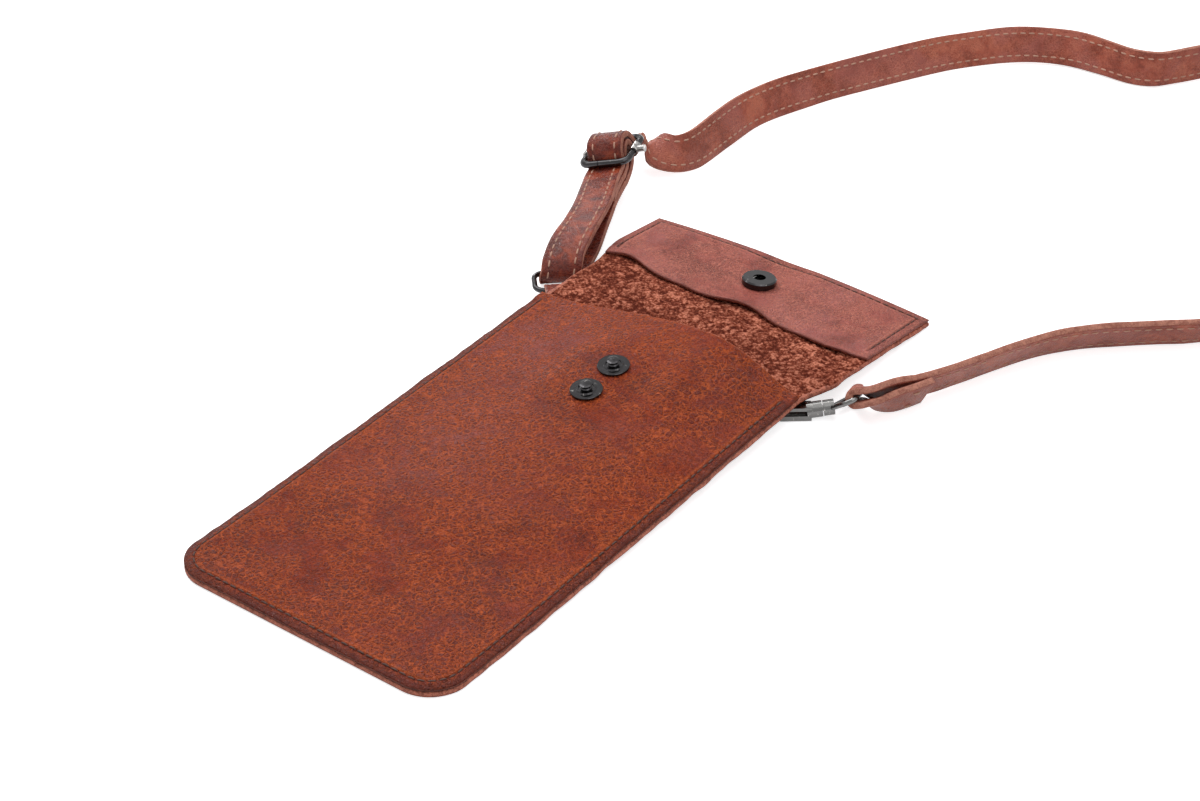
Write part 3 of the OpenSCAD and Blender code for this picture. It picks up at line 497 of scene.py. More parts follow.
@dataclass(frozen=True)
class Metal:
    """Plated metal with scratches and spots where the plating has worn."""

    name: str
    plate: Colour
    worn: Colour
    roughness: float
    wear_from: float = 0.6

    def build(self) -> Material:
        """Makes the material."""
        s = Shader(self.name)
        place = s.place()
        spots = s.span(s.noise(place, 1.6, 4, 0.6, 0.6), self.wear_from, self.wear_from + 0.1)
        smears = s.noise(place, 4.0, 4, 0.6, 0.8)
        base = s.mix(spots, self.plate, self.worn)
        base = s.mix(s.span(smears, 0.35, 0.7) * 0.3, base, tuple(0.6 * c for c in self.plate))
        rough = s.span(smears, 0.3, 0.7, self.roughness, self.roughness + 0.12)
        scratches = s.noise(place, 0.35, 3, 0.6, 0.0)
        return s.finish({"Base Color": base, "Metallic": 1.0, "Roughness": rough,
                         "Normal": s.bump(scratches, 0.0025)})


@dataclass
class Finishes:
    """Every material of the pouch, made once."""

    grain: Material = field(default_factory=GrainLeather(
        "leather_grain", (0.08, 0.005, 0.002), (0.185, 0.014, 0.003), (0.26, 0.028, 0.005),
        (0.5, 0.095, 0.022), (0.28, 0.07, 0.058), relief=0.4, painted_sheen_share=0.3).build)
    strap: Material = field(default_factory=GrainLeather(
        "leather_strap", (0.19, 0.034, 0.017), (0.33, 0.072, 0.042), (0.46, 0.13, 0.076),
        (0.6, 0.21, 0.135), (0.38, 0.12, 0.1), (0.13, 0.038, 0.028), cloud=16.0, pebble=1.2,
        relief=0.12, painted_sheen_share=0.6, net_share=0.3, pit_share=0.3, roughness=0.3,
        shine=0.22).build)
    loop: Material = field(default_factory=GrainLeather(
        "leather_loop", (0.06, 0.006, 0.004), (0.15, 0.015, 0.007), (0.34, 0.055, 0.018),
        (0.32, 0.075, 0.034), (0.13, 0.026, 0.022), (0.07, 0.018, 0.014), cloud=12.0, pebble=1.2,
        relief=0.1, painted_sheen_share=0.35, net_share=0.25, pit_share=0.25, roughness=0.14,
        shine=0.2).build)
    facing: Material = field(default_factory=GrainLeather(
        "leather_facing", (0.15, 0.027, 0.02), (0.3, 0.062, 0.048), (0.42, 0.11, 0.082),
        (0.56, 0.185, 0.13), (0.4, 0.125, 0.115), (0.14, 0.04, 0.03), cloud=20.0, pebble=1.3,
        relief=0.3, painted_sheen_share=0.55, net_share=0.8, pit_share=0.4, roughness=0.38,
        shine=0.22).build)
    flesh: Material = field(default_factory=FleshSide(
        "leather_flesh", (0.085, 0.014, 0.007), (0.35, 0.082, 0.044), (0.74, 0.265, 0.165)).build)
    edge: Material = field(default_factory=RawEdge(
        "edge_dark", (0.24, 0.07, 0.045), (0.085, 0.022, 0.014)).build)
    edge_low: Material = field(default_factory=RawEdge(
        "edge_brick", (0.46, 0.155, 0.1), (0.2, 0.06, 0.038)).build)
    strap_edge: Material = field(default_factory=RawEdge(
        "edge_pale", (0.56, 0.24, 0.17), (0.36, 0.12, 0.08)).build)
    seam: Material = field(default_factory=Thread(
        "thread_brown", (0.075, 0.023, 0.014)).build)
    pale: Material = field(default_factory=Thread(
        "thread_pale", (0.56, 0.31, 0.22)).build)
    dark: Material = field(default_factory=Metal(
        "metal_dark", (0.05, 0.048, 0.05), (0.36, 0.34, 0.32), 0.08, 0.64).build)
    hook: Material = field(default_factory=Metal(
        "metal_hook", (0.15, 0.147, 0.143), (0.5, 0.48, 0.45), 0.1, 0.6).build)
    bright: Material = field(default_factory=Metal(
        "metal_bright", (0.3, 0.29, 0.28), (0.7, 0.68, 0.65), 0.16, 0.5).build)


def add_object(name: str, data: bpy.types.ID) -> Object:
    """Puts an object with its data into the scene."""
    made = bpy.data.objects.new(name, data)
    bpy.context.scene.collection.objects.link(made)
    return made


def make_object(name: str, points: Array, faces: Sequence, materials: Sequence[Material],
                face_slots: Sequence[int] | None = None,
                wear_and_painted_light: dict[str, Array] | None = None) -> Object:
    """Makes a smooth mesh object in the row frame.

    Args:
        name: The piece's name.
        points: Its points, in the pouch's millimetres.
        faces: Its faces, as rows of point numbers.
        materials: Its materials.
        face_slots: Which material each face has.
        wear_and_painted_light: Values that its materials read at each point, by name.

    Returns:
        The object.
    """
    mesh = bpy.data.meshes.new(name)
    mesh.from_pydata(row(points).tolist(), [], [list(map(int, f)) for f in faces])
    for material in materials:
        mesh.materials.append(material)
    if face_slots is not None:
        mesh.polygons.foreach_set("material_index", np.asarray(face_slots, np.int32))
    for key, values in (wear_and_painted_light or {}).items():
        layer = mesh.attributes.new(key, "FLOAT", "POINT")
        layer.data.foreach_set("value", np.asarray(values, np.float32))
    mesh.polygons.foreach_set("use_smooth", np.ones(len(mesh.polygons), bool))
    mesh.validate()
    mesh.update()
    return add_object(name, mesh)


def ripple(x: Array, y: Array, size: float, seed: int) -> Array:
    """Gives a gentle seeded unevenness from about -1 to 1.

    Args:
        x: Places across.
        y: Places along.
        size: Size of the broadest wave.
        seed: Picks the pattern.

    Returns:
        The unevenness at each place.
    """
    octaves, waves, finer, weaker = 3, 5, 1.9, 1.7
    rng = np.random.default_rng(seed)
    total = np.zeros(np.broadcast(x, y).shape)
    for octave in range(octaves):
        for _ in range(waves):
            angle, phase = rng.uniform(0, math.tau, 2)
            pitch = size / finer ** octave * rng.uniform(0.8, 1.3)
            way = x * math.cos(angle) + y * math.sin(angle)
            total += np.sin(way * math.tau / pitch + phase) / (waves * weaker ** octave)
    return total


def tufts(x: Array, y: Array, size: float, seed: int) -> Array:
    """Gives a seeded lumpy height from 0 to 1, as of fibres in clumps.

    Args:
        x: Places across.
        y: Places along.
        size: Size of one lump.
        seed: Picks the pattern.

    Returns:
        The height at each place.
    """
    side = 256
    lumps = np.random.default_rng(seed).random((side, side))
    u, v = x / size, y / size
    i, j = np.floor(u).astype(int), np.floor(v).astype(int)
    s, t = smooth(u - i), smooth(v - j)
    near = lumps[i % side, j % side] * (1 - s) + lumps[(i + 1) % side, j % side] * s
    far = lumps[i % side, (j + 1) % side] * (1 - s) + lumps[(i + 1) % side, (j + 1) % side] * s
    return near * (1 - t) + far * t


def nap(x: Array, y: Array) -> Array:
    """Gives the height of the suede's nap at a place, from 0 to 1."""
    stray, curl = 0.9, 1.6
    u = x + stray * tufts(x, y, curl, 31)
    v = y + stray * tufts(x, y, curl, 32)
    height = 0.5 * tufts(u, v, 1.0, 33) + 0.3 * tufts(u, v, 1.9, 34) + 0.2 * tufts(x, y, 4.5, 35)
    return smooth((height - 0.15) / 0.7)


# Shape of the leather, as in the part's source
FOLD_RAMP = LIFT_H / (POUCH_L - REST_L - REST_SOFT / 2)
PEAK_X = 0.18 * POUCH_W
BULGE_HALF = HALF_W - SEAM_MARGIN
BULGE_START = 8.0
STUD_FLAT_R = 10.0
STUD_FLAT_EASE = 14.0


def low(y: Array) -> Array:
    """Gives the height of the leather's underside over the table at y."""
    u = np.asarray(y, float) - REST_L
    ramped = np.where(u < REST_SOFT, FOLD_RAMP * np.maximum(u, 0) ** 2 / (2 * REST_SOFT),
                      FOLD_RAMP * (u - REST_SOFT / 2))
    falling = LIFT_H * (1 - (u + REST_L - DROP_START) / (FLAP_END - DROP_START))
    past_fold = np.where(u + REST_L < DROP_START, LIFT_H, falling)
    return np.where(u + REST_L < POUCH_L, ramped, past_fold)


def bulge_top(x: Array, y: Array) -> Array:
    """Gives the height of the front's face at a place, before it is flattened round the studs."""
    left = smooth((x + BULGE_HALF) / (PEAK_X + BULGE_HALF)) ** 0.8
    right = smooth((BULGE_HALF - x) / (BULGE_HALF - PEAK_X)) ** 0.6
    along = np.maximum(0, (y - BULGE_START) / (POUCH_L - BULGE_START)) ** 1.8
    return low(y) + 2 * LEATHER_T + MOUTH_RISE * np.where(x < PEAK_X, left, right) * along


def front_top(x: Array, y: Array) -> Array:
    """Gives the height of the front's face at a place."""
    x, y = np.asarray(x, float), np.asarray(y, float)
    at_low, at_high = (float(bulge_top(np.array(0.0), np.array(stud)))
                       for stud in (STUD_LOW_Y, STUD_Y))
    slope = (at_high - at_low) / (STUD_Y - STUD_LOW_Y)
    away = np.hypot(x, np.maximum(0, y - STUD_Y) + np.minimum(0, y - STUD_LOW_Y))
    k = smooth((away - STUD_FLAT_R) / STUD_FLAT_EASE)
    return k * bulge_top(x, y) + (1 - k) * (at_low + slope * (y - STUD_LOW_Y))


def side_right(y: Array) -> Array:
    """Gives the half width of the leather on the right at y."""
    return HALF_W + FLAP_FLARE * smooth((y - POUCH_L) / 16.5)


def side_left(y: Array) -> Array:
    """Gives the half width of the leather on the left at y."""
    return HALF_W + FLAP_FLARE * smooth((y - POUCH_L - 25.5) / 23.0)


# Distances in from an edge at which a sheet has points, dense at the edge and the seam
EDGE_STEPS = np.array([0.0, 0.12, 0.3, 0.6, 1.0, 1.6, 2.2, 2.6, 2.85, 3.15, 3.4, 3.8, 4.6, 6.0,
                       8.0])


def steps_between(start: float, end: float, at_start: bool, at_end: bool,
                  pitch: float) -> Array:
    """Gives places along a length, dense where an edge or seam is.

    Args:
        start: Where it starts.
        end: Where it ends.
        at_start: Whether the start is an edge.
        at_end: Whether the end is an edge.
        pitch: The distance between places elsewhere.

    Returns:
        The places, in order.
    """
    lo = start + (EDGE_STEPS if at_start else np.array([0.0]))
    hi = end - (EDGE_STEPS[::-1] if at_end else np.array([0.0]))
    count = max(2, int(round((hi[0] - lo[-1]) / pitch)))
    inner = np.linspace(lo[-1], hi[0], count + 1)[1:-1]
    return np.concatenate([lo, inner, hi])


@dataclass(frozen=True)
class SheetMap:
    """The points of a sheet, as arrays of one shape.

    Attributes:
        x: Places across.
        y: Places along.
        gap: Distances in from the outline.
        seam: Distances in from the edges that are sewn.
        sewn: The share of the seam at each place along.
        groove: The share of the groove that the thread lies in.
        margin: The share of the pressed margin outside it.
        ragged_x: Places across, with the edges cut a little unevenly.
    """

    x: Array
    y: Array
    gap: Array
    seam: Array
    sewn: Array
    groove: Array
    margin: Array
    ragged_x: Array


@dataclass
class LeatherSheet:
    """A sheet of leather between two ends of the pouch, with rounded edges."""

    name: str
    y0: float
    y1: float
    top: Callable[[Array, Array], Array]
    thickness: float
    edge_start: bool = True
    edge_end: bool = True
    seam_end: SeamEnd = SeamEnd.NONE
    pitch: float = 1.5
    fine_pitch: float = 0.55
    round_r: float = 0.7
    rounds_corners: bool = False
    seam_stop: float = 4.0
    groove_w: float = 0.36
    groove_h: float = 0.42
    margin_reach: float = 1.25
    press: float = 0.0
    ragged: int = 0
    wave: float = 0.1
    wave_size: float = 38.0
    wave_from: float = 6.0
    nap_h: float = 0.75
    # Painted shade on the underside, away from its edge
    painted_under_shade: float = 0.0
    columns: int = 60
    fine_from: float | None = None
    nap_share: Callable[[Array], Array] | None = None
    edge_reach: float = 0.0
    # How far the pressed margin is painted towards the rubbed colour, as the greyish sheen of its
    # slope
    margin_sheen: float = 0.72
    edge_rub_w: float = 0.9
    # How dark the seam's groove is painted, as shade in the recess
    groove_shade: float = 0.85
    lit_share: float = 0.6
    lit_off: float = 0.8
    lit_w: float = 0.4
    mouth_lit: float = 0.85
    mouth_w: float = 0.8
    # Strength and place of a painted sheen, a broad paler patch on the top
    sheen: float = 0.0
    sheen_x: float = -30.0
    sheen_w: float = 24.0
    sheen_start: float = 35.0
    sheen_over: float = 60.0

    def outline_gap(self, x: Array, y: Array, start: bool, end: bool) -> Array:
        """Gives each place's distance to the sheet's outline.

        Args:
            x: Places across.
            y: Places along.
            start: Whether the start counts as outline.
            end: Whether the end does.

        Returns:
            The distances.
        """
        gap = np.minimum(side_right(y) - x, side_left(y) + x)
        if end:
            gap = np.minimum(gap, self.y1 - y)
        if start:
            gap = np.minimum(gap, y - self.y0)
        if self.rounds_corners:
            inside = (np.abs(x) > HALF_W - CORNER_R) & (y < CORNER_R)
            arc = CORNER_R - np.hypot(np.abs(x) - HALF_W + CORNER_R, CORNER_R - y)
            gap = np.where(inside, arc, gap)
        return np.maximum(gap, 0.0)

    def grid(self) -> tuple[Array, Array]:
        """Lays out the sheet's points as rows across."""
        if self.fine_from is None:
            ys = steps_between(self.y0, self.y1, self.edge_start, self.edge_end, self.pitch)
        else:
            coarse = steps_between(self.y0, self.fine_from, self.edge_start, False, self.pitch)
            fine = steps_between(self.fine_from, self.y1, False, self.edge_end, self.fine_pitch)
            ys = np.concatenate([coarse, fine[1:]])
        share = (np.linspace(-1.0, 1.0, self.columns + 1)[1:-1] + 1) / 2
        xs = []
        for y in ys:
            right, left = float(side_right(y)), float(side_left(y))
            if self.rounds_corners and y < CORNER_R:
                cut = CORNER_R - math.sqrt(max(0.0, CORNER_R ** 2 - (CORNER_R - y) ** 2))
                right, left = right - cut, left - cut
            inner_l, inner_r = -left + EDGE_STEPS[-1], right - EDGE_STEPS[-1]
            xs.append(np.concatenate([-left + EDGE_STEPS, inner_l + (inner_r - inner_l) * share,
                                      right - EDGE_STEPS[::-1]]))
        return np.array(xs), np.repeat(ys[:, None], len(xs[0]), axis=1)

    def survey(self) -> SheetMap:
        """Works out where the sheet's points lie, and the seam's share at each."""
        x, y = self.grid()
        at_start, at_end = self.seam_end is SeamEnd.START, self.seam_end is SeamEnd.END
        seam = self.outline_gap(x, y, at_start, at_end)
        sewn = np.full(x.shape, float(at_start or at_end))
        if not at_end:
            sewn *= smooth((self.y1 - self.seam_stop - y) / 2)
        if not at_start:
            sewn *= smooth((y - self.y0 - self.seam_stop) / 2)
        groove = sewn * np.exp(-((seam - SEAM_INSET) / self.groove_w) ** 2)
        margin = sewn * smooth(self.margin_reach - seam / SEAM_INSET)
        gap, ragged_x = self.outline_gap(x, y, self.edge_start, self.edge_end), x
        if self.ragged:
            shift = 0.28 * ripple(0 * x, y, 19.0, self.ragged) + 0.12 * ripple(0 * x, y, 4.5, 3)
            ragged_x = x + shift * smooth(1 - gap / 3.0) * np.sign(x) * smooth(y / 12)
        return SheetMap(x, y, gap, seam, sewn, groove, margin, ragged_x)

    def faces(self, gap: Array) -> tuple[Array, Array]:
        """Joins the sheet's points into faces.

        Args:
            gap: The points' distances in from the outline.

        Returns:
            The faces, as rows of point numbers, and the layer of each.
        """
        n = gap.size
        index = np.arange(n).reshape(gap.shape)
        a, b = index[:-1, :-1].ravel(), index[:-1, 1:].ravel()
        c, d = index[1:, 1:].ravel(), index[1:, :-1].ravel()
        faces = [np.stack([a, b, c, d], -1), np.stack([a, d, c, b], -1) + n]
        near_edge = gap[:-1, :-1].ravel() < self.edge_reach
        layers = [np.where(near_edge, Layer.EDGE, Layer.TOP), np.full(len(a), Layer.UNDER)]
        rim = [(index[0, :-1], index[0, 1:]), (index[-1, 1:], index[-1, :-1]),
               (index[1:, 0], index[:-1, 0]), (index[:-1, -1], index[1:, -1])]
        for p, q in rim:
            faces.append(np.stack([p, p + n, q + n, q], -1))
            layers.append(np.full(len(p), Layer.EDGE))
        return np.concatenate(faces), np.concatenate(layers)

    def points(self, at: SheetMap) -> Array:
        """Gives the points of the top, then those of the underside."""
        r = self.round_r
        fall = r - np.sqrt(np.maximum(0, r ** 2 - (r - np.minimum(at.gap, r)) ** 2))
        x, y = at.x, at.y
        top = self.top(x, y)
        under = top - self.thickness + fall
        top = top - fall - self.groove_h * at.groove - self.press * at.margin
        top = top + self.wave * ripple(x, y, self.wave_size, 11) * smooth(at.gap / self.wave_from)
        if self.nap_share:
            top = top + self.nap_h * (nap(x, y) - 0.4) * self.nap_share(y) * smooth(at.gap / 1.5)
        return np.concatenate([np.stack([at.ragged_x, y, z], -1).reshape(-1, 3)
                               for z in (top, under)])

    def wear_and_painted_light(self, at: SheetMap, rub_share: float) -> dict[str, Array]:
        """Works out the values that the materials read at each point.

        Args:
            at: The points.
            rub_share: How dark the edges are rubbed.

        Returns:
            The values of the top, then of the underside, by name.
        """
        # Rubbed edges, with painted shade in the seam's groove and painted sheen on the pressed
        # margin
        rub = np.maximum(rub_share * np.exp(-(at.gap / self.edge_rub_w) ** 2),
                         np.maximum(self.margin_sheen * at.margin, self.groove_shade * at.groove))
        beside = np.exp(-((at.seam - SEAM_INSET - self.lit_off) / self.lit_w) ** 2)
        lit = self.lit_share * at.sewn * beside
        if self.edge_end and self.seam_end is not SeamEnd.END:
            mouth = np.exp(-((self.y1 - at.y) / self.mouth_w) ** 2)
            rub, lit = rub * (1 - mouth), np.maximum(lit, self.mouth_lit * mouth)
        x, y = at.ragged_x, at.y
        # Painted sheen: a broad paler patch towards the left, fading in along the sheet
        sheen = (self.sheen * np.exp(-((x - self.sheen_x) / self.sheen_w) ** 2)
                 * smooth((y - self.sheen_start) / self.sheen_over)
                 * (0.75 + 0.25 * ripple(x, y, 46.0, 51)))
        # Painted shade on the underside, away from the edge
        under_shade = self.painted_under_shade * smooth((at.gap - 0.8) / 1.2)
        bare, even = np.zeros(rub.shape), np.full(rub.shape, 0.5)
        lie = nap(x, y) if self.nap_share else even
        both = {"rub": (rub, under_shade), "lit": (lit, bare), "nap": (lie, even),
                "sheen": (sheen, bare)}
        return {name: np.concatenate([top.ravel(), under.ravel()])
                for name, (top, under) in both.items()}

    def build(self, finishes: Sequence[Material], rub_share: float) -> Object:
        """Makes the sheet.

        Args:
            finishes: The materials of its top, its underside and its edges.
            rub_share: How dark its edges are rubbed.

        Returns:
            The object.
        """
        at = self.survey()
        faces, layers = self.faces(at.gap)
        return make_object(self.name, self.points(at), faces, finishes, layers,
                           self.wear_and_painted_light(at, rub_share))


@dataclass(frozen=True)
class Stitch:
    """One kind of stitch: its length, its thread's radius and the step to the next."""

    length: float
    radius: float
    pitch: float


POCKET_STITCH = Stitch(2.35, 0.3, 3.1)
FLAP_STITCH = Stitch(2.3, 0.28, 3.1)
STRAP_STITCH = Stitch(2.5, 0.34, 3.6)
END_STITCH = Stitch(2.6, 0.36, 8.4)


def stitches(name: str, centres: Array, along: Array, out: Array, kind: Stitch,
             material: Material) -> Object:
    """Makes a row of stitches, each a short bowed length of thread.

    Args:
        name: The piece's name.
        centres: Their middles, in the pouch's millimetres.
        along: The way each one runs.
        out: The way each one stands up.
        kind: Their length and radius.
        material: The thread's material.

    Returns:
        The object.
    """
    stations = np.array([-1.0, -0.93, -0.7, -0.25, 0.25, 0.7, 0.93, 1.0])
    widths = np.array([0.25, 0.62, 0.92, 1.0, 1.0, 0.92, 0.62, 0.25])
    bow = -0.55 * kind.radius * stations ** 2
    sides = 8
    angles = np.arange(sides) * math.tau / sides
    across = np.cross(along, out)
    across /= np.linalg.norm(across, axis=1, keepdims=True)
    rise = np.cross(across, along)
    points, faces = [], []
    for s, w, lift in zip(stations, widths, bow):
        for angle in angles:
            points.append(centres + along * (s * kind.length / 2)
                          + rise * (lift + kind.radius * w * math.sin(angle))
                          + across * (kind.radius * w * math.cos(angle)))
    points = np.stack(points, 1).reshape(-1, 3)
    per = len(stations) * sides
    one = [[i * sides + k, i * sides + (k + 1) % sides, (i + 1) * sides + (k + 1) % sides,
            (i + 1) * sides + k] for i in range(len(stations) - 1) for k in range(sides)]
    caps = [list(range(sides))[::-1], [per - sides + k for k in range(sides)]]
    for i in range(len(centres)):
        faces += [[v + i * per for v in f] for f in one + caps]
    return make_object(name, points, faces, [material])


def run_of(line: Array) -> Array:
    """Gives how far along a line each of its points lies."""
    return np.concatenate([[0], np.cumsum(np.linalg.norm(np.diff(line, axis=0), axis=1))])


def values_at(at: Array, run: Array, values: Array) -> Array:
    """Reads the points or directions of a line at distances along it."""
    return np.stack([np.interp(at, run, values[:, i]) for i in range(3)], -1)


def along_line(line: Array, pitch: float, start: float) -> tuple[Array, Array]:
    """Places points at even steps along a line.

    Args:
        line: The line's points.
        pitch: The step.
        start: Where the first one lies.

    Returns:
        The points and the line's direction at each.
    """
    run, near = run_of(line), 0.3
    at = np.arange(start, run[-1] - pitch * 0.4, pitch)
    way = values_at(at + near, run, line) - values_at(at - near, run, line)
    length = np.maximum(np.linalg.norm(way, axis=1, keepdims=True), 1e-9)
    return values_at(at, run, line), way / length


@dataclass
class Band:
    """A strap of two layers swept along a curve, with grain faces and cut edges."""

    name: str
    route: list[Point]
    width_at: Callable[[float, Array], Array]
    fine: int = 5
    wide: float = STRAP_W
    thick: float = STRAP_T
    end_r: float = 0.0
    row_inset: float = 2.6
    row_start: float = 1.2
    thread_sink: float = 0.05

    def __post_init__(self) -> None:
        """Works out the band's centre line and its width and face at each point."""
        self.line = self.curve()
        way = (np.vstack([self.line[1:], self.line[-1:]])
               - np.vstack([self.line[:1], self.line[:-1]]))
        way /= np.linalg.norm(way, axis=1, keepdims=True)
        wide = np.array([self.width_at(i / self.fine, ahead) for i, ahead in enumerate(way)])
        self.across = wide - np.sum(wide * way, 1, keepdims=True) * way
        self.across /= np.linalg.norm(self.across, axis=1, keepdims=True)
        self.face = np.cross(way, self.across)

    def curve(self) -> Array:
        """Runs a smooth curve through the route's points."""
        points = [np.asarray(p, float) for p in self.route]
        last = len(points) - 1
        out = []
        for i in range(last):
            a, b = points[max(0, i - 1)], points[i]
            c, d = points[i + 1], points[min(last, i + 2)]
            for j in range(self.fine):
                t = j / self.fine
                out.append(0.5 * (2 * b + (c - a) * t + (2 * a - 5 * b + 4 * c - d) * t * t
                                  + (3 * b - a - 3 * c + d) * t ** 3))
        return np.array(out + [points[last]])

    def narrowing(self) -> Array:
        """Gives the share of the width at each point, less where an end is rounded."""
        if not self.end_r:
            return np.ones(len(self.line))
        run = run_of(self.line)
        gap = np.minimum(np.minimum(run, run[-1] - run), self.end_r)
        return 1 - (self.end_r - np.sqrt(gap * (2 * self.end_r - gap))) / (self.wide / 2)

    def section(self) -> tuple[Array, Array]:
        """Gives the outline across the band, and whether each side of it is a cut edge."""
        half, thin, soft = self.wide / 2, self.thick / 2, 0.23 * self.thick
        chip = 0.3 * soft
        side = [(half, -thin + soft), (half, thin - soft), (half - chip, thin - chip),
                (half - soft, thin), (half - 1.3, thin), (half - 2.0, thin - 0.14),
                (half - 2.7, thin), (half * 0.3, thin)]
        lower = [(-half + chip, -thin + chip), (-half + soft, -thin), (-half * 0.4, -thin),
                 (half * 0.4, -thin), (half - soft, -thin), (half - chip, -thin + chip)]
        outline = np.array(side + [(-u, v) for u, v in side[::-1]] + lower)
        after = np.roll(outline, -1, axis=0)
        beside = np.minimum(np.abs(outline[:, 0]), np.abs(after[:, 0])) > half - 0.3
        between = np.abs(outline[:, 1] + after[:, 1]) / 2 < thin - 0.2
        return outline, beside | between

    def build(self, made_of: Finishes, grain: Material | None = None) -> Object:
        """Makes the band.

        Args:
            made_of: The materials.
            grain: Its grain side, where that isn't the usual strap leather.

        Returns:
            The object.
        """
        outline, cut = self.section()
        k, n = len(outline), len(self.line)
        uneven = 1 + 0.012 * np.sin(np.arange(n) * 0.7) + 0.01 * np.sin(np.arange(n) * 0.23)
        uneven = uneven * self.narrowing()
        points = (self.line[:, None] + self.across[:, None] * outline[None, :, :1]
                  * uneven[:, None, None] + self.face[:, None] * outline[None, :, 1:])
        index = np.arange(n * k).reshape(n, k)
        after = np.roll(index, -1, axis=1)
        faces = np.stack([index[:-1], index[1:], after[1:], after[:-1]], -1)
        # The ends have points of their own, so that they don't shade the faces
        caps = [[n * k + i for i in range(k)], [(n + 1) * k + i for i in range(k)][::-1]]
        faces = faces.transpose(1, 0, 2).reshape(-1, 4).tolist() + caps
        is_cut = [*np.repeat(cut, n - 1), True, True]
        points = np.concatenate([points, points[:1], points[-1:]])
        rub = 0.35 * np.exp(-((self.wide / 2 - np.abs(outline[:, 0])) / 0.5) ** 2)
        return make_object(self.name, points.reshape(-1, 3), faces,
                           [grain or made_of.strap, made_of.strap_edge], is_cut,
                           {"rub": np.tile(rub, n + 2), "lit": np.zeros((n + 2) * k)})

    def rows(self, name: str, made_of: Finishes, first: int = 0,
             last: int | None = None) -> Object:
        """Makes the two rows of stitches on each face of the band.

        Args:
            name: The piece's name.
            made_of: The materials.
            first: The first point that is stitched.
            last: The last one.

        Returns:
            The object.
        """
        cut = slice(first, last)
        spots, ways, outs = [], [], []
        for side, flip in ((-1, 1), (1, 1), (-1, -1), (1, -1)):
            line = self.line[cut] + side * (self.wide / 2 - self.row_inset) * self.across[cut]
            centre, way = along_line(line, STRAP_STITCH.pitch, self.row_start)
            at = self.row_start + STRAP_STITCH.pitch * np.arange(len(centre))
            out = values_at(at, run_of(line), self.face[cut] * flip)
            spots.append(centre + out * (self.thick / 2 - self.thread_sink))
            ways.append(way)
            outs.append(out)
        return stitches(name, np.concatenate(spots), np.concatenate(ways), np.concatenate(outs),
                        STRAP_STITCH, made_of.pale)


def heading(turn: float, rise: float = 0.0) -> Array:
    """Gives the direction at a turn from x towards y, raised from the table, in degrees."""
    t, r = math.radians(turn), math.radians(rise)
    return np.array([math.cos(r) * math.cos(t), math.cos(r) * math.sin(t), math.sin(r)])


def around(middle: Array, r: float, degrees: float, first: Array = heading(0),
           second: Array = heading(90)) -> Array:
    """Gives a place on a circle, turned from the first direction to the second."""
    a = math.radians(degrees)
    return middle + r * (math.cos(a) * first + math.sin(a) * second)


# Routes of the straps, as in the part's source
SLIDER_AT = np.array([-86.1, 263.4, 15.5])
SLIDER_X = unit([0.923, 0.252, 0.290])
SLIDER_Y = unit(np.cross(unit([-0.258, -0.152, 0.954]), SLIDER_X))
SLIDER_Z = np.cross(SLIDER_X, SLIDER_Y)
RUN_LEAN = 30.0
RUN_WAY = unit([-0.37, -0.93, 0.0])
ROLL_AT = np.array([179.0, 435.0, 0.0])
RING_TURN = 133.0
RING_BAR = np.array([-HALF_W - 1.4, POUCH_L + 12.7, 3.0])
HOOK_TURN = 39.6
HOOK_BAR = np.array([36.242, 167.262, 2.7])
COLLAR_AT = np.array([HALF_W + 4.7, POUCH_L + 5.1, 3.4])
WRAP_GAP = 0.2


def on_slider(y: float, z: float) -> Array:
    """Gives a place by the slider, y away from the pouch and z out of its frame."""
    return SLIDER_AT + y * SLIDER_Y + z * SLIDER_Z


def on_edge(way: Array, lean: float) -> Array:
    """Gives the width of a strap on edge that runs along way, its top leaning left by degrees."""
    tilt = math.radians(lean)
    return -(math.cos(tilt) * UP + math.sin(tilt) * unit(np.cross(UP, way)))


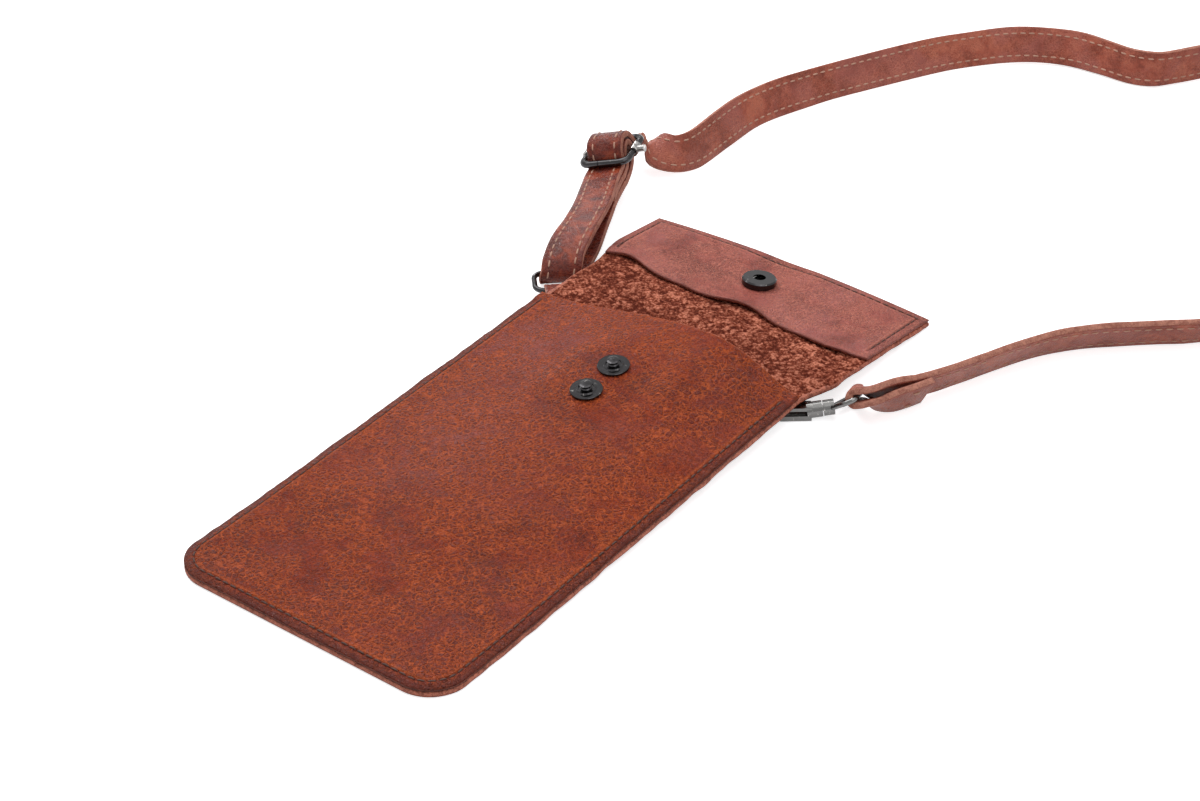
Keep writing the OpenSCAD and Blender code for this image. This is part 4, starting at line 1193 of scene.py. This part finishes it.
@dataclass
class StrapRoutes:
    """The routes of the straps, in the pouch's millimetres."""

    ring_reach: float = 10.0
    ring_dip: float = 5.0
    swivel_tilt: float = 8.5
    collar_l: float = 4.5
    eye_l: float = 12.8
    eye_rise: float = 18.0
    eye_lean: float = 60.0
    core_r: float = 28.0
    core_turn: float = 70.0
    strand_pitch: float = 8.0
    coil_step: float = 15.0
    turn_out: float = 200.0
    turn_in: float = 120.0

    def left(self) -> list[Point]:
        """Gives the visible run from behind the slider."""
        return [on_slider(13.8, -3.1), [-88.3, 280, 12.3], [-84.4, 282.2, 10.6],
                [-79.4, 284, 9], [-74.8, 286.8, 7.9], [-72.3, 292.4, 7.3], [-71.9, 299.8, 7.1],
                [-73, 314.7, 7], [-73.5, 331.4, 7], [-71.2, 345.5, 7], [-66.2, 360.9, 7],
                [-59.2, 378.4, 7], [-43.1, 412.9, 7], [-33, 429, 7], [-22.5, 442.3, 7],
                [-11.9, 450, 7], [0, 454.6, 7], [12.2, 455.1, 7], [24.8, 454.8, 7],
                [33.7, 457.8, 7.2], [39.1, 464.1, 7.4], [45.4, 473.1, 7.8]]

    def coil(self) -> list[Point]:
        """Gives the part that is rolled up and put away."""
        centre = ROLL_AT + (STRAP_W / 2 + 1.0) * UP
        start, step, r = self.core_turn, self.coil_step, self.core_r

        def spiral(u: float) -> float:
            """Gives the roll's radius after u degrees."""
            return 2 * r + self.strand_pitch * u / 180

        entry = [[50.6, 480.4, 7.9], [60.5, 489.5, 8], [76, 496.5, 8], [96, 500, 8],
                 [120, 501, 8], [142, 500.8, 8], [161, 500.2, 8]]
        leave = [[120.6, 410, 8], [126.5, 388, 8], [136, 363, 7.9], [145, 340, 7.6],
                 [147, 322, 7.2], [143.5, 307, 6.9]]
        first, second = around(centre, -r, start), around(centre, r, start)
        out = [around(centre, spiral(u), start + 180 + u)
               for u in np.arange(self.turn_out, step / 2, -step)]
        core_out = [around(first, r, start + a) for a in np.arange(180, step / 2, -step)]
        core_in = [around(second, r, start - a) for a in np.arange(180, -1, -step)]
        back = [around(centre, spiral(u), start + u)
                for u in np.arange(step, self.turn_in + 1, step)]
        return entry + out + core_out + core_in + back + leave

    def right(self) -> list[Point]:
        """Gives the visible run on the right, towards the hook."""
        return [[133.9, 295.2, 6.5], [125, 287.3, 6.5], [115.8, 278.9, 6.5], [109.8, 273.3, 6.5],
                [104.3, 267.1, 6.5], [99.3, 260.3, 6.5], [95, 252.3, 6.5], [90.7, 242.5, 6.5],
                [87.2, 233, 6.6]]

    def lead(self) -> list[Point]:
        """Gives the short stretch between the right run and the end loop."""
        return [[87.2, 233, 6.6], [84.7, 226.4, 6.7], [81.9, 219.2, 6.8], [79.2, 213.2, 7],
                [77.1, 208.7, 7.15]]

    def eye_axes(self) -> tuple[Array, Array, Array]:
        """Gives the eye's outward, across and facing directions."""
        rise, lean = self.eye_rise + self.swivel_tilt, math.radians(self.eye_lean)
        side, above = heading(HOOK_TURN + 90), heading(HOOK_TURN, rise + 90)
        return (heading(HOOK_TURN, rise), math.cos(lean) * above - math.sin(lean) * side,
                math.cos(lean) * side + math.sin(lean) * above)

    def end_loop(self) -> tuple[list[Point], Callable[[float, Array], Array]]:
        """Gives the loop round the eye's far bar, and the strap's width along it."""
        outward, wide, facing = self.eye_axes()
        bar = (COLLAR_AT + self.collar_l * heading(HOOK_TURN, self.swivel_tilt)
               + (self.eye_l - self.collar_l) * outward)
        tail = [[80.8, 210, 6.5], [78.8, 205, 6.4], [76.2, 200, 6.2], [73, 195.9, 6],
                [70.2, 193.5, 6.3]]
        out = [[67.6, 193.8, 9.8], [70.2, 196.4, 9.5], [72.5, 199.6, 8.8], [74.5, 203.2, 8.0],
               [76.3, 207, 7.3], [77.3, 209.1, 7.2]]
        wrap = [around(bar, EYE_WIRE_R + STRAP_T / 2 + WRAP_GAP, a, outward, facing)
                for a in (-90, -135, -180, -225, -270)]
        run_width = on_edge(RUN_WAY, RUN_LEAN)
        wraps_end = len(tail) + 4

        def width(k: float, way: Array) -> Array:
            """Gives the width at a place along the route."""
            s = smooth((k - 1.4) / 3.6) if k < len(tail) else 1 - smooth((k - wraps_end) / 3.8)
            return s * wide - (1 - s) * run_width

        return tail + wrap + out, width

    def adjuster(self) -> tuple[list[Point], Callable[[float, Array], Array]]:
        """Gives the loop between the slider and the left ring, and its width along it."""
        far = RING_BAR + self.ring_reach * heading(RING_TURN, self.ring_dip)
        over = [on_slider(y, z) for y, z in (
            (11.5, -2.9), (8.8, -2.75), (6.7, -1.9), (5.9, 0.3), (4.8, 3.1), (2.8, 5.1), (0, 5.8),
            (-2.8, 5.1), (-4.8, 3.1), (-5.9, 0.3), (-6.7, -1.9), (-8.8, -2.75), (-12, -3.1))]
        down = [[-78.5, 245.8, 12], [-71.8, 233.1, 12.4], [-67.3, 221.8, 12.3],
                [-64.6, 213.5, 11.8], [-62.2, 206, 10.4], [-59.9, 200.6, 8.4],
                [-58.9, 198.3, 5.8]]
        wrap = [around(far, RING_WIRE_R + STRAP_T / 2 + WRAP_GAP, a, heading(RING_TURN), UP)
                for a in (180, 225, 270)]
        back = [[-61.2, 205.2, 1.8], [-63, 210.5, 2.1], [-65.4, 217.5, 2.8], [-69, 226, 3.6],
                [-72.8, 234.6, 4.8], [-76.4, 242.6, 6]]
        under = [on_slider(y, z) for y, z in (
            (-12, -8.3), (-8, -7.9), (-3.8, -7.1), (0, -4.9), (2.4, -2.4), (2.8, 0.2), (1.7, 2.3),
            (-0.6, 2.7), (-2.7, 0.9), (-3.4, -1.8), (-4.9, -4.1), (-7, -5.1), (-9.4, -5.5),
            (-12, -5.7))]
        tail = [[-78, 245.4, 9.4], [-74.6, 238.9, 9.5]]
        across = heading(RING_TURN - 90)
        turn_at = len(over) + len(down) + 1

        def width(k: float, way: Array) -> Array:
            """Gives the width at a place along the route."""
            if k < turn_at:
                s = smooth((k - len(over) + 1) / (turn_at - len(over)))
            else:
                s = smooth(1 - (k - turn_at - 1) / len(back))
            return (1 - s) * SLIDER_X + s * across

        return over + down + wrap + back + under + tail, width


@dataclass(frozen=True)
class Lamp:
    """A square soft lamp, placed in metres to the camera's right, ahead of it and up."""

    name: str
    side: float
    depth: float
    height: float
    size: float
    power: float


@dataclass
class Studio:
    """The stage: camera, floor, lamps and background."""

    focal: float = 80.0
    sensor: float = 36.0
    yaw: float = -37.3
    pitch: float = 33.93
    camera_at: tuple[float, float, float] = (429.9, -421.2, 482.6)
    white: Colour = (1.0, 1.0, 1.0)
    floor_colour: Colour = (0.86, 0.86, 0.88)
    floor_reach: float = 6.0
    floor_z: float = -0.0002
    floor_glow: float = 0.7
    air: float = 0.3
    aimed_at: tuple[float, float, float] = (0.0, 0.02, 0.0)
    hung: tuple[Lamp, ...] = (
        Lamp("lamp_key", -0.55, 0.65, 1.15, 0.9, 10.5),
        Lamp("lamp_front", 0.5, -0.8, 1.1, 1.0, 4.6),
        Lamp("lamp_top", 0.1, 0.1, 1.5, 1.4, 7.2),
        Lamp("lamp_glint", -0.2, 1.0, 0.6, 0.14, 1.8))

    def build(self) -> None:
        """Makes the whole stage."""
        self.camera()
        self.floor()
        self.lamps()
        self.world()
        bpy.context.scene.view_settings.view_transform = "Standard"

    @staticmethod
    def aim(made: Object, way: Vector) -> None:
        """Turns a camera or lamp to look along a direction."""
        made.rotation_euler = way.to_track_quat("-Z", "Y").to_euler()

    def camera(self) -> None:
        """Puts the camera at the photograph's viewing angle."""
        data = bpy.data.cameras.new("camera")
        data.lens, data.sensor_width, data.sensor_fit = self.focal, self.sensor, "HORIZONTAL"
        data.clip_start, data.clip_end = 0.01, 50.0
        made = add_object("camera", data)
        made.location = Vector(row(self.camera_at).tolist())
        self.aim(made, Vector(heading(90 - self.yaw, -self.pitch).tolist()))
        bpy.context.scene.camera = made

    def floor(self) -> None:
        """Lays the pale floor."""
        mesh = bpy.data.meshes.new("floor")
        corners = ((-1, -1), (1, -1), (1, 1), (-1, 1))
        mesh.from_pydata([(x * self.floor_reach, y * self.floor_reach, 0) for x, y in corners],
                         [], [(0, 1, 2, 3)])
        made = add_object("floor", mesh)
        made.location.z = self.floor_z
        s = Shader("floor_pale")
        path = s.node("ShaderNodeLightPath")
        seen, glossy, through = (Signal(s, path.outputs[f"Is {kind} Ray"], Kind.VALUE)
                                 for kind in SEEN_BY)
        strength = (seen + glossy + through) * self.floor_glow
        glow = s.node("ShaderNodeEmission", {}, {"Color": self.white, "Strength": strength})
        matt = s.node("ShaderNodeBsdfDiffuse", {}, {"Color": self.floor_colour})
        mesh.materials.append(s.close(
            s.node("ShaderNodeAddShader", {}, {0: glow.outputs[0], 1: matt.outputs[0]})))

    def lamps(self) -> None:
        """Hangs the soft lamps."""
        right, ahead = np.array([0.795, 0.606, 0]), np.array([-0.606, 0.795, 0])
        for lamp in self.hung:
            data = bpy.data.lights.new(lamp.name, "AREA")
            data.shape, data.size, data.energy = "SQUARE", lamp.size, lamp.power
            made = add_object(lamp.name, data)
            made.location = Vector((lamp.side * right + lamp.depth * ahead
                                    + lamp.height * UP).tolist())
            self.aim(made, Vector(self.aimed_at) - made.location)

    def world(self) -> None:
        """Lights the air round the object, white where it is seen or mirrored."""
        s = Shader("air", world=True)
        bpy.context.scene.world = s.owner
        path = s.node("ShaderNodeLightPath")
        shown, white = (s.node("ShaderNodeBackground", {}, {"Color": self.white, "Strength": power})
                        for power in (self.air, 1.0))
        for kind in SEEN_BY:
            shown = s.node("ShaderNodeMixShader", {}, {0: path.outputs[f"Is {kind} Ray"],
                                                       1: shown.outputs[0], 2: white.outputs[0]})
        s.close(shown)


def stand_for(piece: Object, nodes: Sequence[str]) -> Object:
    """Hides the nodes that a piece replaces.

    Args:
        piece: The piece.
        nodes: The nodes, if it replaces any.

    Returns:
        The piece.
    """
    if nodes:
        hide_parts(*nodes)
    return piece


def settle(piece: Object, body: str, slot: str, *nodes: str) -> Object:
    """Sets a piece on its body and hides the nodes that it replaces.

    Args:
        piece: The piece.
        body: The body that it rides on.
        slot: The record's slot of its finish; not used.
        nodes: The nodes that it replaces.

    Returns:
        The piece.
    """
    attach(piece, body)
    log.info("%s rides on %s", piece.name, body)
    return stand_for(piece, nodes)


def settle_between(piece: Object, bodies: tuple[str, str], ends: tuple[Point, Point],
                   slot: str, *nodes: str) -> Object:
    """Bends a piece between two bodies and names what it stands for.

    Args:
        piece: The piece.
        bodies: The two bodies.
        ends: Where it would stop following the first and follow the second alone, in the pouch's
            millimetres; not used.
        slot: The record's slot of its finish; not used.
        nodes: The nodes that it replaces.

    Returns:
        The piece.
    """
    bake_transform(piece)
    log.info("%s bends between %s and %s", piece.name, *bodies)
    return stand_for(piece, nodes)


@dataclass
class Straps:
    """The shoulder strap with its loops, lead and stitches."""

    routes: StrapRoutes
    made_of: Finishes

    def build(self) -> None:
        """Makes every strap piece."""
        self.free()
        self.lead()
        self.end_loop()
        self.adjuster()

    def free(self) -> None:
        """Makes the free strap, from the slider round the roll to the lead."""
        left, coil, right = self.routes.left(), self.routes.coil(), self.routes.right()
        ends_left, ends_coil = len(left), len(left) + len(coil)
        twist_over, lean_until, lean_over = 5.4, 12, 7

        def width(k: float, way: Array) -> Array:
            """Gives the strap's width at a place along the route."""
            if k < ends_left:
                s = smooth(k / twist_over)
                lean = RUN_LEAN * (1 - smooth((k - lean_until) / (ends_left - lean_until)))
            else:
                s = 1.0
                lean = RUN_LEAN * smooth((k - ends_coil + lean_over) / lean_over)
            return (1 - s) * SLIDER_X + s * on_edge(way, lean)

        band = Band("strap_free", left + coil + right, width, fine=4)
        piece = settle(band.build(self.made_of), "pouch", "strap_leather", "strap_left_run",
                       "strap_coil", "strap_right_run")
        rows = settle(band.rows("strap_free_stitches", self.made_of, 2, -2), "pouch",
                      "strap_thread")
        self.tie()

    def tie(self) -> Object:
        """Makes the tie round two strands of the roll, with one end over the other."""
        near, far, height, thick, corner = 54.4, 65.9, 16.0, 0.86, 1.8
        out = heading(80)
        lo, hi = near - thick / 2 + corner, far + thick / 2 - corner
        floor, roof = thick / 2 + corner, height - thick / 2 - corner

        def spot(x: float, z: float) -> Array:
            """Gives a place in the tie's plane, x out from the roll's middle and z up."""
            return ROLL_AT + x * out + z * UP

        line = [spot(60.5, roof + corner), spot(62, roof + corner)]
        for x, z, first in ((hi, roof, 90), (hi, floor, 0), (lo, floor, -90), (lo, roof, -180)):
            line += [around(spot(x, z), corner, first - turn, out, UP) for turn in (0, 30, 60, 90)]
        line += [spot(57.8, roof + corner + 0.1), spot(59.8, height + thick * 0.45),
                 spot(62.2, height + thick * 0.5), spot(64.2, height + thick * 0.35)]
        band = Band("strap_tie_band", line, lambda k, way: np.cross(out, UP), fine=3, wide=6.0,
                    thick=thick, end_r=1.5)
        return settle(band.build(self.made_of), "pouch", "strap_leather", "strap_tie")

    def lead(self) -> None:
        """Makes the lead to the end loop."""
        band = Band("strap_lead", self.routes.lead(), lambda k, way: on_edge(way, RUN_LEAN))
        bodies, ends = ("pouch", "ring_right"), ([87, 232.6, 6.6], [77.1, 208.7, 7.15])
        settle_between(band.build(self.made_of), bodies, ends, "strap_leather",
                       "strap_right_lead")
        settle_between(band.rows("strap_lead_stitches", self.made_of), bodies, ends,
                       "strap_thread")

    def end_loop(self) -> None:
        """Makes the loop round the eye."""
        band = Band("strap_end_fold", *self.routes.end_loop())
        bodies, ends = ("hook", "swivel"), ([77, 206, 7], [69, 196, 7.8])
        settle_between(band.build(self.made_of), bodies, ends, "strap_leather", "strap_end_loop")
        through, high, face_at = unit([-0.805, 0.32, 0.5]), on_edge(RUN_WAY, RUN_LEAN), 2.9
        spots, ways, outs = [], [], []
        for side in (-1, 1):
            middle = np.array([77.2, 205.1, 6.8]) + side * END_STITCH.pitch / 2 * high
            spots += [middle, middle - face_at * through, middle + face_at * through]
            ways += [through, RUN_WAY, RUN_WAY]
            outs += [RUN_WAY, -through, through]
        sewn = stitches("strap_end_stitches", np.array(spots), np.array(ways), np.array(outs),
                        END_STITCH, self.made_of.pale)
        settle_between(sewn, bodies, ends, "strap_thread", "end_loop_thread")

    def adjuster(self) -> None:
        """Makes the loop between the slider and the left ring."""
        band = Band("strap_adjuster", *self.routes.adjuster(), fine=4)
        bodies, ends = ("pouch", "ring_left"), ([-80, 248, 9], [-62, 207, 6])
        settle_between(band.build(self.made_of, self.made_of.loop), bodies, ends,
                       "strap_leather", "adjuster_loop")
        settle_between(band.rows("strap_adjuster_stitches", self.made_of, 8, 84), bodies, ends,
                       "strap_thread")


@dataclass
class Pocket:
    """The pocket's leather, its seam, the fold and the flap."""

    made_of: Finishes
    hinge_low: float
    hinge_high: float
    bend_reach: float = 5.0
    fold_columns: int = 190
    fine_from: float = 178.0
    arch_h: float = 2.2
    arch_half: float = 56.0
    arch_start: float = 216.0
    arch_over: float = 36.0
    seam_start: float = 0.8
    seam_sink: float = 0.24

    def __post_init__(self) -> None:
        """Works out where the back ends and the flap starts."""
        self.middle = (self.hinge_low + self.hinge_high) / 2

    def build(self) -> None:
        """Makes every leather piece of the pouch."""
        self.front()
        self.back()
        self.flap()
        self.facing()

    def bend(self, piece: Object, bodies: tuple[str, str], hinge: float, slot: str,
             *nodes: str) -> None:
        """Bakes a piece at a hinge of the fold and hides its nodes, logging the bodies beside it.
        """
        ends = tuple([0.0, hinge + reach, LIFT_H + LEATHER_T]
                     for reach in (-self.bend_reach, self.bend_reach))
        settle_between(piece, bodies, ends, slot, *nodes)

    def sew(self, name: str, line: Array, top: Callable[[Array, Array], Array], kind: Stitch,
            body: str, node: str) -> None:
        """Sews along a line of the leather.

        Args:
            name: The piece's name.
            line: The line's points.
            top: Gives the leather's height at a place.
            kind: The stitch.
            body: The body that the leather rides on.
            node: The node that the stitches replace.
        """
        spots, way = along_line(line, kind.pitch, self.seam_start)
        spots[:, 2] = top(spots[:, 0], spots[:, 1]) - self.seam_sink
        out = np.tile(UP, (len(spots), 1))
        settle(stitches(name, spots, way, out, kind, self.made_of.seam), body, "seam_thread",
               node)

    def front(self) -> None:
        """Makes the front and its seam."""
        m = self.made_of
        sheet = LeatherSheet("pocket_front", 0.0, POUCH_L, front_top, LEATHER_T - 0.05,
                             seam_end=SeamEnd.START, rounds_corners=True, press=0.7, round_r=0.9,
                             ragged=21, wave=0.22, painted_under_shade=0.9, sheen=0.95)
        settle(sheet.build([m.grain, m.flesh, m.edge], 0.45), "pouch", "leather_grain",
               "front_panel")
        self.sew("pocket_seam", self.seam_line(SEAM_INSET, POUCH_L - 4.2), front_top,
                 POCKET_STITCH, "pouch", "pocket_seam_thread")

    @staticmethod
    def seam_line(inset: float, top: float) -> Array:
        """Gives the line of the pocket's seam.

        Args:
            inset: Its distance in from the edge.
            top: Where it ends below the mouth.

        Returns:
            The line's points.
        """
        pts = [[-HALF_W + inset, y, 0.0] for y in np.linspace(top, CORNER_R, 60)]
        for cx, first in ((CORNER_R - HALF_W, 180), (HALF_W - CORNER_R, 270)):
            pts += [around(np.array([cx, CORNER_R, 0.0]), CORNER_R - inset, a)
                    for a in np.linspace(first, first + 90, 16)]
        pts += [[HALF_W - inset, y, 0.0] for y in np.linspace(CORNER_R, top, 60)[1:]]
        line = np.array(pts)
        line[:, 2] = front_top(line[:, 0], line[:, 1])
        return line

    def back(self) -> None:
        """Makes the back, as far as the middle of the fold."""
        m = self.made_of
        sheet = LeatherSheet("pocket_back", 0.0, self.middle, lambda x, y: low(y) + LEATHER_T,
                             LEATHER_T, edge_end=False, rounds_corners=True, ragged=22,
                             columns=self.fold_columns, fine_from=self.fine_from, edge_reach=1.6,
                             nap_share=lambda y: smooth((y - self.fine_from) / 4))
        self.bend(sheet.build([m.flesh, m.grain, m.edge_low], 0.0), ("pouch", "fold"),
                  self.hinge_low, "leather_grain", "back_panel")

    def flap_top(self, x: Array, y: Array) -> Array:
        """Gives the height of the flap's inner side, which arches up at the end."""
        away = np.hypot(x, y - SOCKET_Y)
        arch = (self.arch_h * np.maximum(0, 1 - (x / self.arch_half) ** 2)
                * smooth((y - self.arch_start) / self.arch_over) * smooth((away - 7.5) / 16))
        return low(y) + LEATHER_T + arch

    def facing_top(self, x: Array, y: Array) -> Array:
        """Gives the height of the facing's upper side."""
        return self.flap_top(x, y) + FACING_T

    def flap(self) -> None:
        """Makes the flap, from the middle of the fold."""
        m = self.made_of
        sheet = LeatherSheet("flap_leather", self.middle, FLAP_END, self.flap_top, LEATHER_T,
                             edge_start=False, columns=self.fold_columns,
                             fine_from=self.middle + 0.5, ragged=22, edge_reach=0.6,
                             nap_share=lambda y: smooth((FACING_START + 1.2 - y) / 2.5))
        self.bend(sheet.build([m.flesh, m.grain, m.edge_low], 0.0), ("fold", "flap"),
                  self.hinge_high, "leather_suede", "fold_strip", "flap_panel")

    @staticmethod
    def free_edge(x: Array) -> Array:
        """Gives where the facing's wavy free edge lies at x."""
        return (FACING_START + 0.1 - 2.6 * x / 56 + 1.5 * np.sin(x / 8.5 + 0.6)
                + 0.8 * np.sin(x / 4.1))

    def facing(self) -> None:
        """Makes the facing with its wavy free edge, and its seam."""
        m = self.made_of
        sheet = LeatherSheet("flap_lining", FACING_START, FLAP_END,
                             lambda x, y: np.zeros(x.shape), FACING_T, seam_end=SeamEnd.END,
                             pitch=1.1, round_r=0.45, press=0.25, margin_sheen=0.2)
        piece = sheet.build([m.facing, m.flesh, m.edge], 0.5)
        spots = np.array([v.co for v in piece.data.vertices]) / MM + FRAME_MM
        x, start = spots[:, 0], self.free_edge(spots[:, 0])
        share = (spots[:, 1] - FACING_START) / (FLAP_END - FACING_START)
        y = start + share * (FLAP_END - start)
        lift = ((0.75 + 0.6 * np.sin(x / 7.3 + 1.1)) * np.exp(-(y - start) / 3.2)
                * smooth((54 - np.abs(x)) / 9))
        spots[:, 1] = y
        spots[:, 2] += self.facing_top(x, y) + lift
        piece.data.vertices.foreach_set("co", row(spots).ravel())
        piece.data.update()
        settle(piece, "flap", "facing_leather", "flap_facing")
        self.sew("flap_seam", self.facing_line(219.0), self.facing_top, FLAP_STITCH, "flap",
                 "flap_seam_thread")

    @staticmethod
    def facing_line(start: float) -> Array:
        """Gives the line of the facing's seam, which starts and ends at one place along."""
        end = FLAP_END - SEAM_INSET
        ys = np.linspace(start, end, 30)
        return np.array([[SEAM_INSET - float(side_left(y)), y, 0.0] for y in ys]
                        + [[x, end, 0.0] for x in np.linspace(-HALF_W, HALF_W, 50)]
                        + [[float(side_right(y)) - SEAM_INSET, y, 0.0] for y in ys[::-1]])


@dataclass
class RingTabs:
    """The folded leather tabs that hold the rings under the back."""

    made_of: Finishes
    thick: float = 1.06
    layer: float = 1.1
    clearance: float = 0.05
    wide: float = 12.0
    reach: float = 24.0

    def build(self) -> None:
        """Makes both tabs."""
        tilt = math.degrees(math.atan(FOLD_RAMP * math.sin(math.radians(HOOK_TURN))))
        self.tab(Side.LEFT, RING_BAR, RING_TURN, 0.0)
        self.tab(Side.RIGHT, HOOK_BAR, HOOK_TURN, tilt)

    def tab(self, side: Side, bar: Array, turn: float, tilt: float) -> None:
        """Makes one tab, folded round the bar of its ring.

        Args:
            side: Which tab it is.
            bar: The middle of the ring's bar.
            turn: The way from the tab to the ring, seen from above, in degrees.
            tilt: How far that way rises, in degrees.
        """
        outward, across = heading(turn, tilt), heading(turn + 90)
        rise = np.cross(outward, across)
        r = RING_WIRE_R + self.clearance + self.layer / 2
        low_z = RING_WIRE_R + self.clearance - self.layer / 2

        def spot(x: float, z: float) -> Array:
            """Gives a place in the tab's section, x out from the bar's middle and z over it."""
            return bar + x * outward + z * rise

        line = [spot(x - self.reach, r + self.clearance)
                for x in (0, 0.3, 0.9, 1.8, 3, 8, 14, 19, 22)]
        line += [around(bar, r, a, outward, rise) for a in (90, 60, 30, 0, -30, -60, -90)]
        line += [spot(-1.6, -r + 0.2), spot(-4.6, -0.6), spot(-7.4, low_z - 0.25)]
        line += [spot(x - self.reach, low_z) for x in (14, 10, 6, 3, 1.8, 0.9, 0.3, 0)]
        band = Band(f"ring_tab_{side.value}_fold", line, lambda k, way: across, fine=2,
                    wide=self.wide, thick=self.thick, end_r=2.5)
        settle(band.build(self.made_of, self.made_of.loop), "pouch", "leather_grain",
               f"ring_tab_{side.value}")


@dataclass
class Fittings:
    """The metal fittings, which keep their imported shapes."""

    made_of: Finishes
    frame: dict
    hook_parts: tuple[str, ...] = ("hook_body", "hook_bolt", "swivel_eye", "bolt_spring")

    def build(self) -> None:
        """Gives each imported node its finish."""
        m = self.made_of
        finish = {"leather_grain": m.grain, "dark_metal": m.dark, "bright_metal": m.bright,
                  "strap_leather": m.strap, "seam_thread": m.seam, "strap_thread": m.pale,
                  "leather_suede": m.flesh, "facing_leather": m.facing}
        slots = {part["node"]: part["material_slot"] for part in self.frame["record"]["subparts"]}
        for name, node in self.frame["nodes"].items():
            node.data.materials.clear()
            node.data.materials.append(m.hook if name in self.hook_parts else finish[slots[name]])
            log.info("%s keeps its packed shape", name)


def hinge_y(frame: dict, name: str) -> float:
    """Gives how far along the pouch a hinge of the fold lies, in its millimetres."""
    joint = next(joint for joint in frame["joints"] if joint["name"] == name)
    return joint["pos_m"][1] / MM + FRAME_MM[1]


def main() -> None:
    """Builds the stage and the dressed pouch, in order."""
    logging.basicConfig(level=logging.INFO, format="%(message)s")
    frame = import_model()
    Studio().build()
    made_of = Finishes()
    Fittings(made_of, frame).build()
    Straps(StrapRoutes(), made_of).build()
    RingTabs(made_of).build()
    Pocket(made_of, hinge_y(frame, "fold_lower"), hinge_y(frame, "fold_upper")).build()


if __name__ == "__main__":
    main()
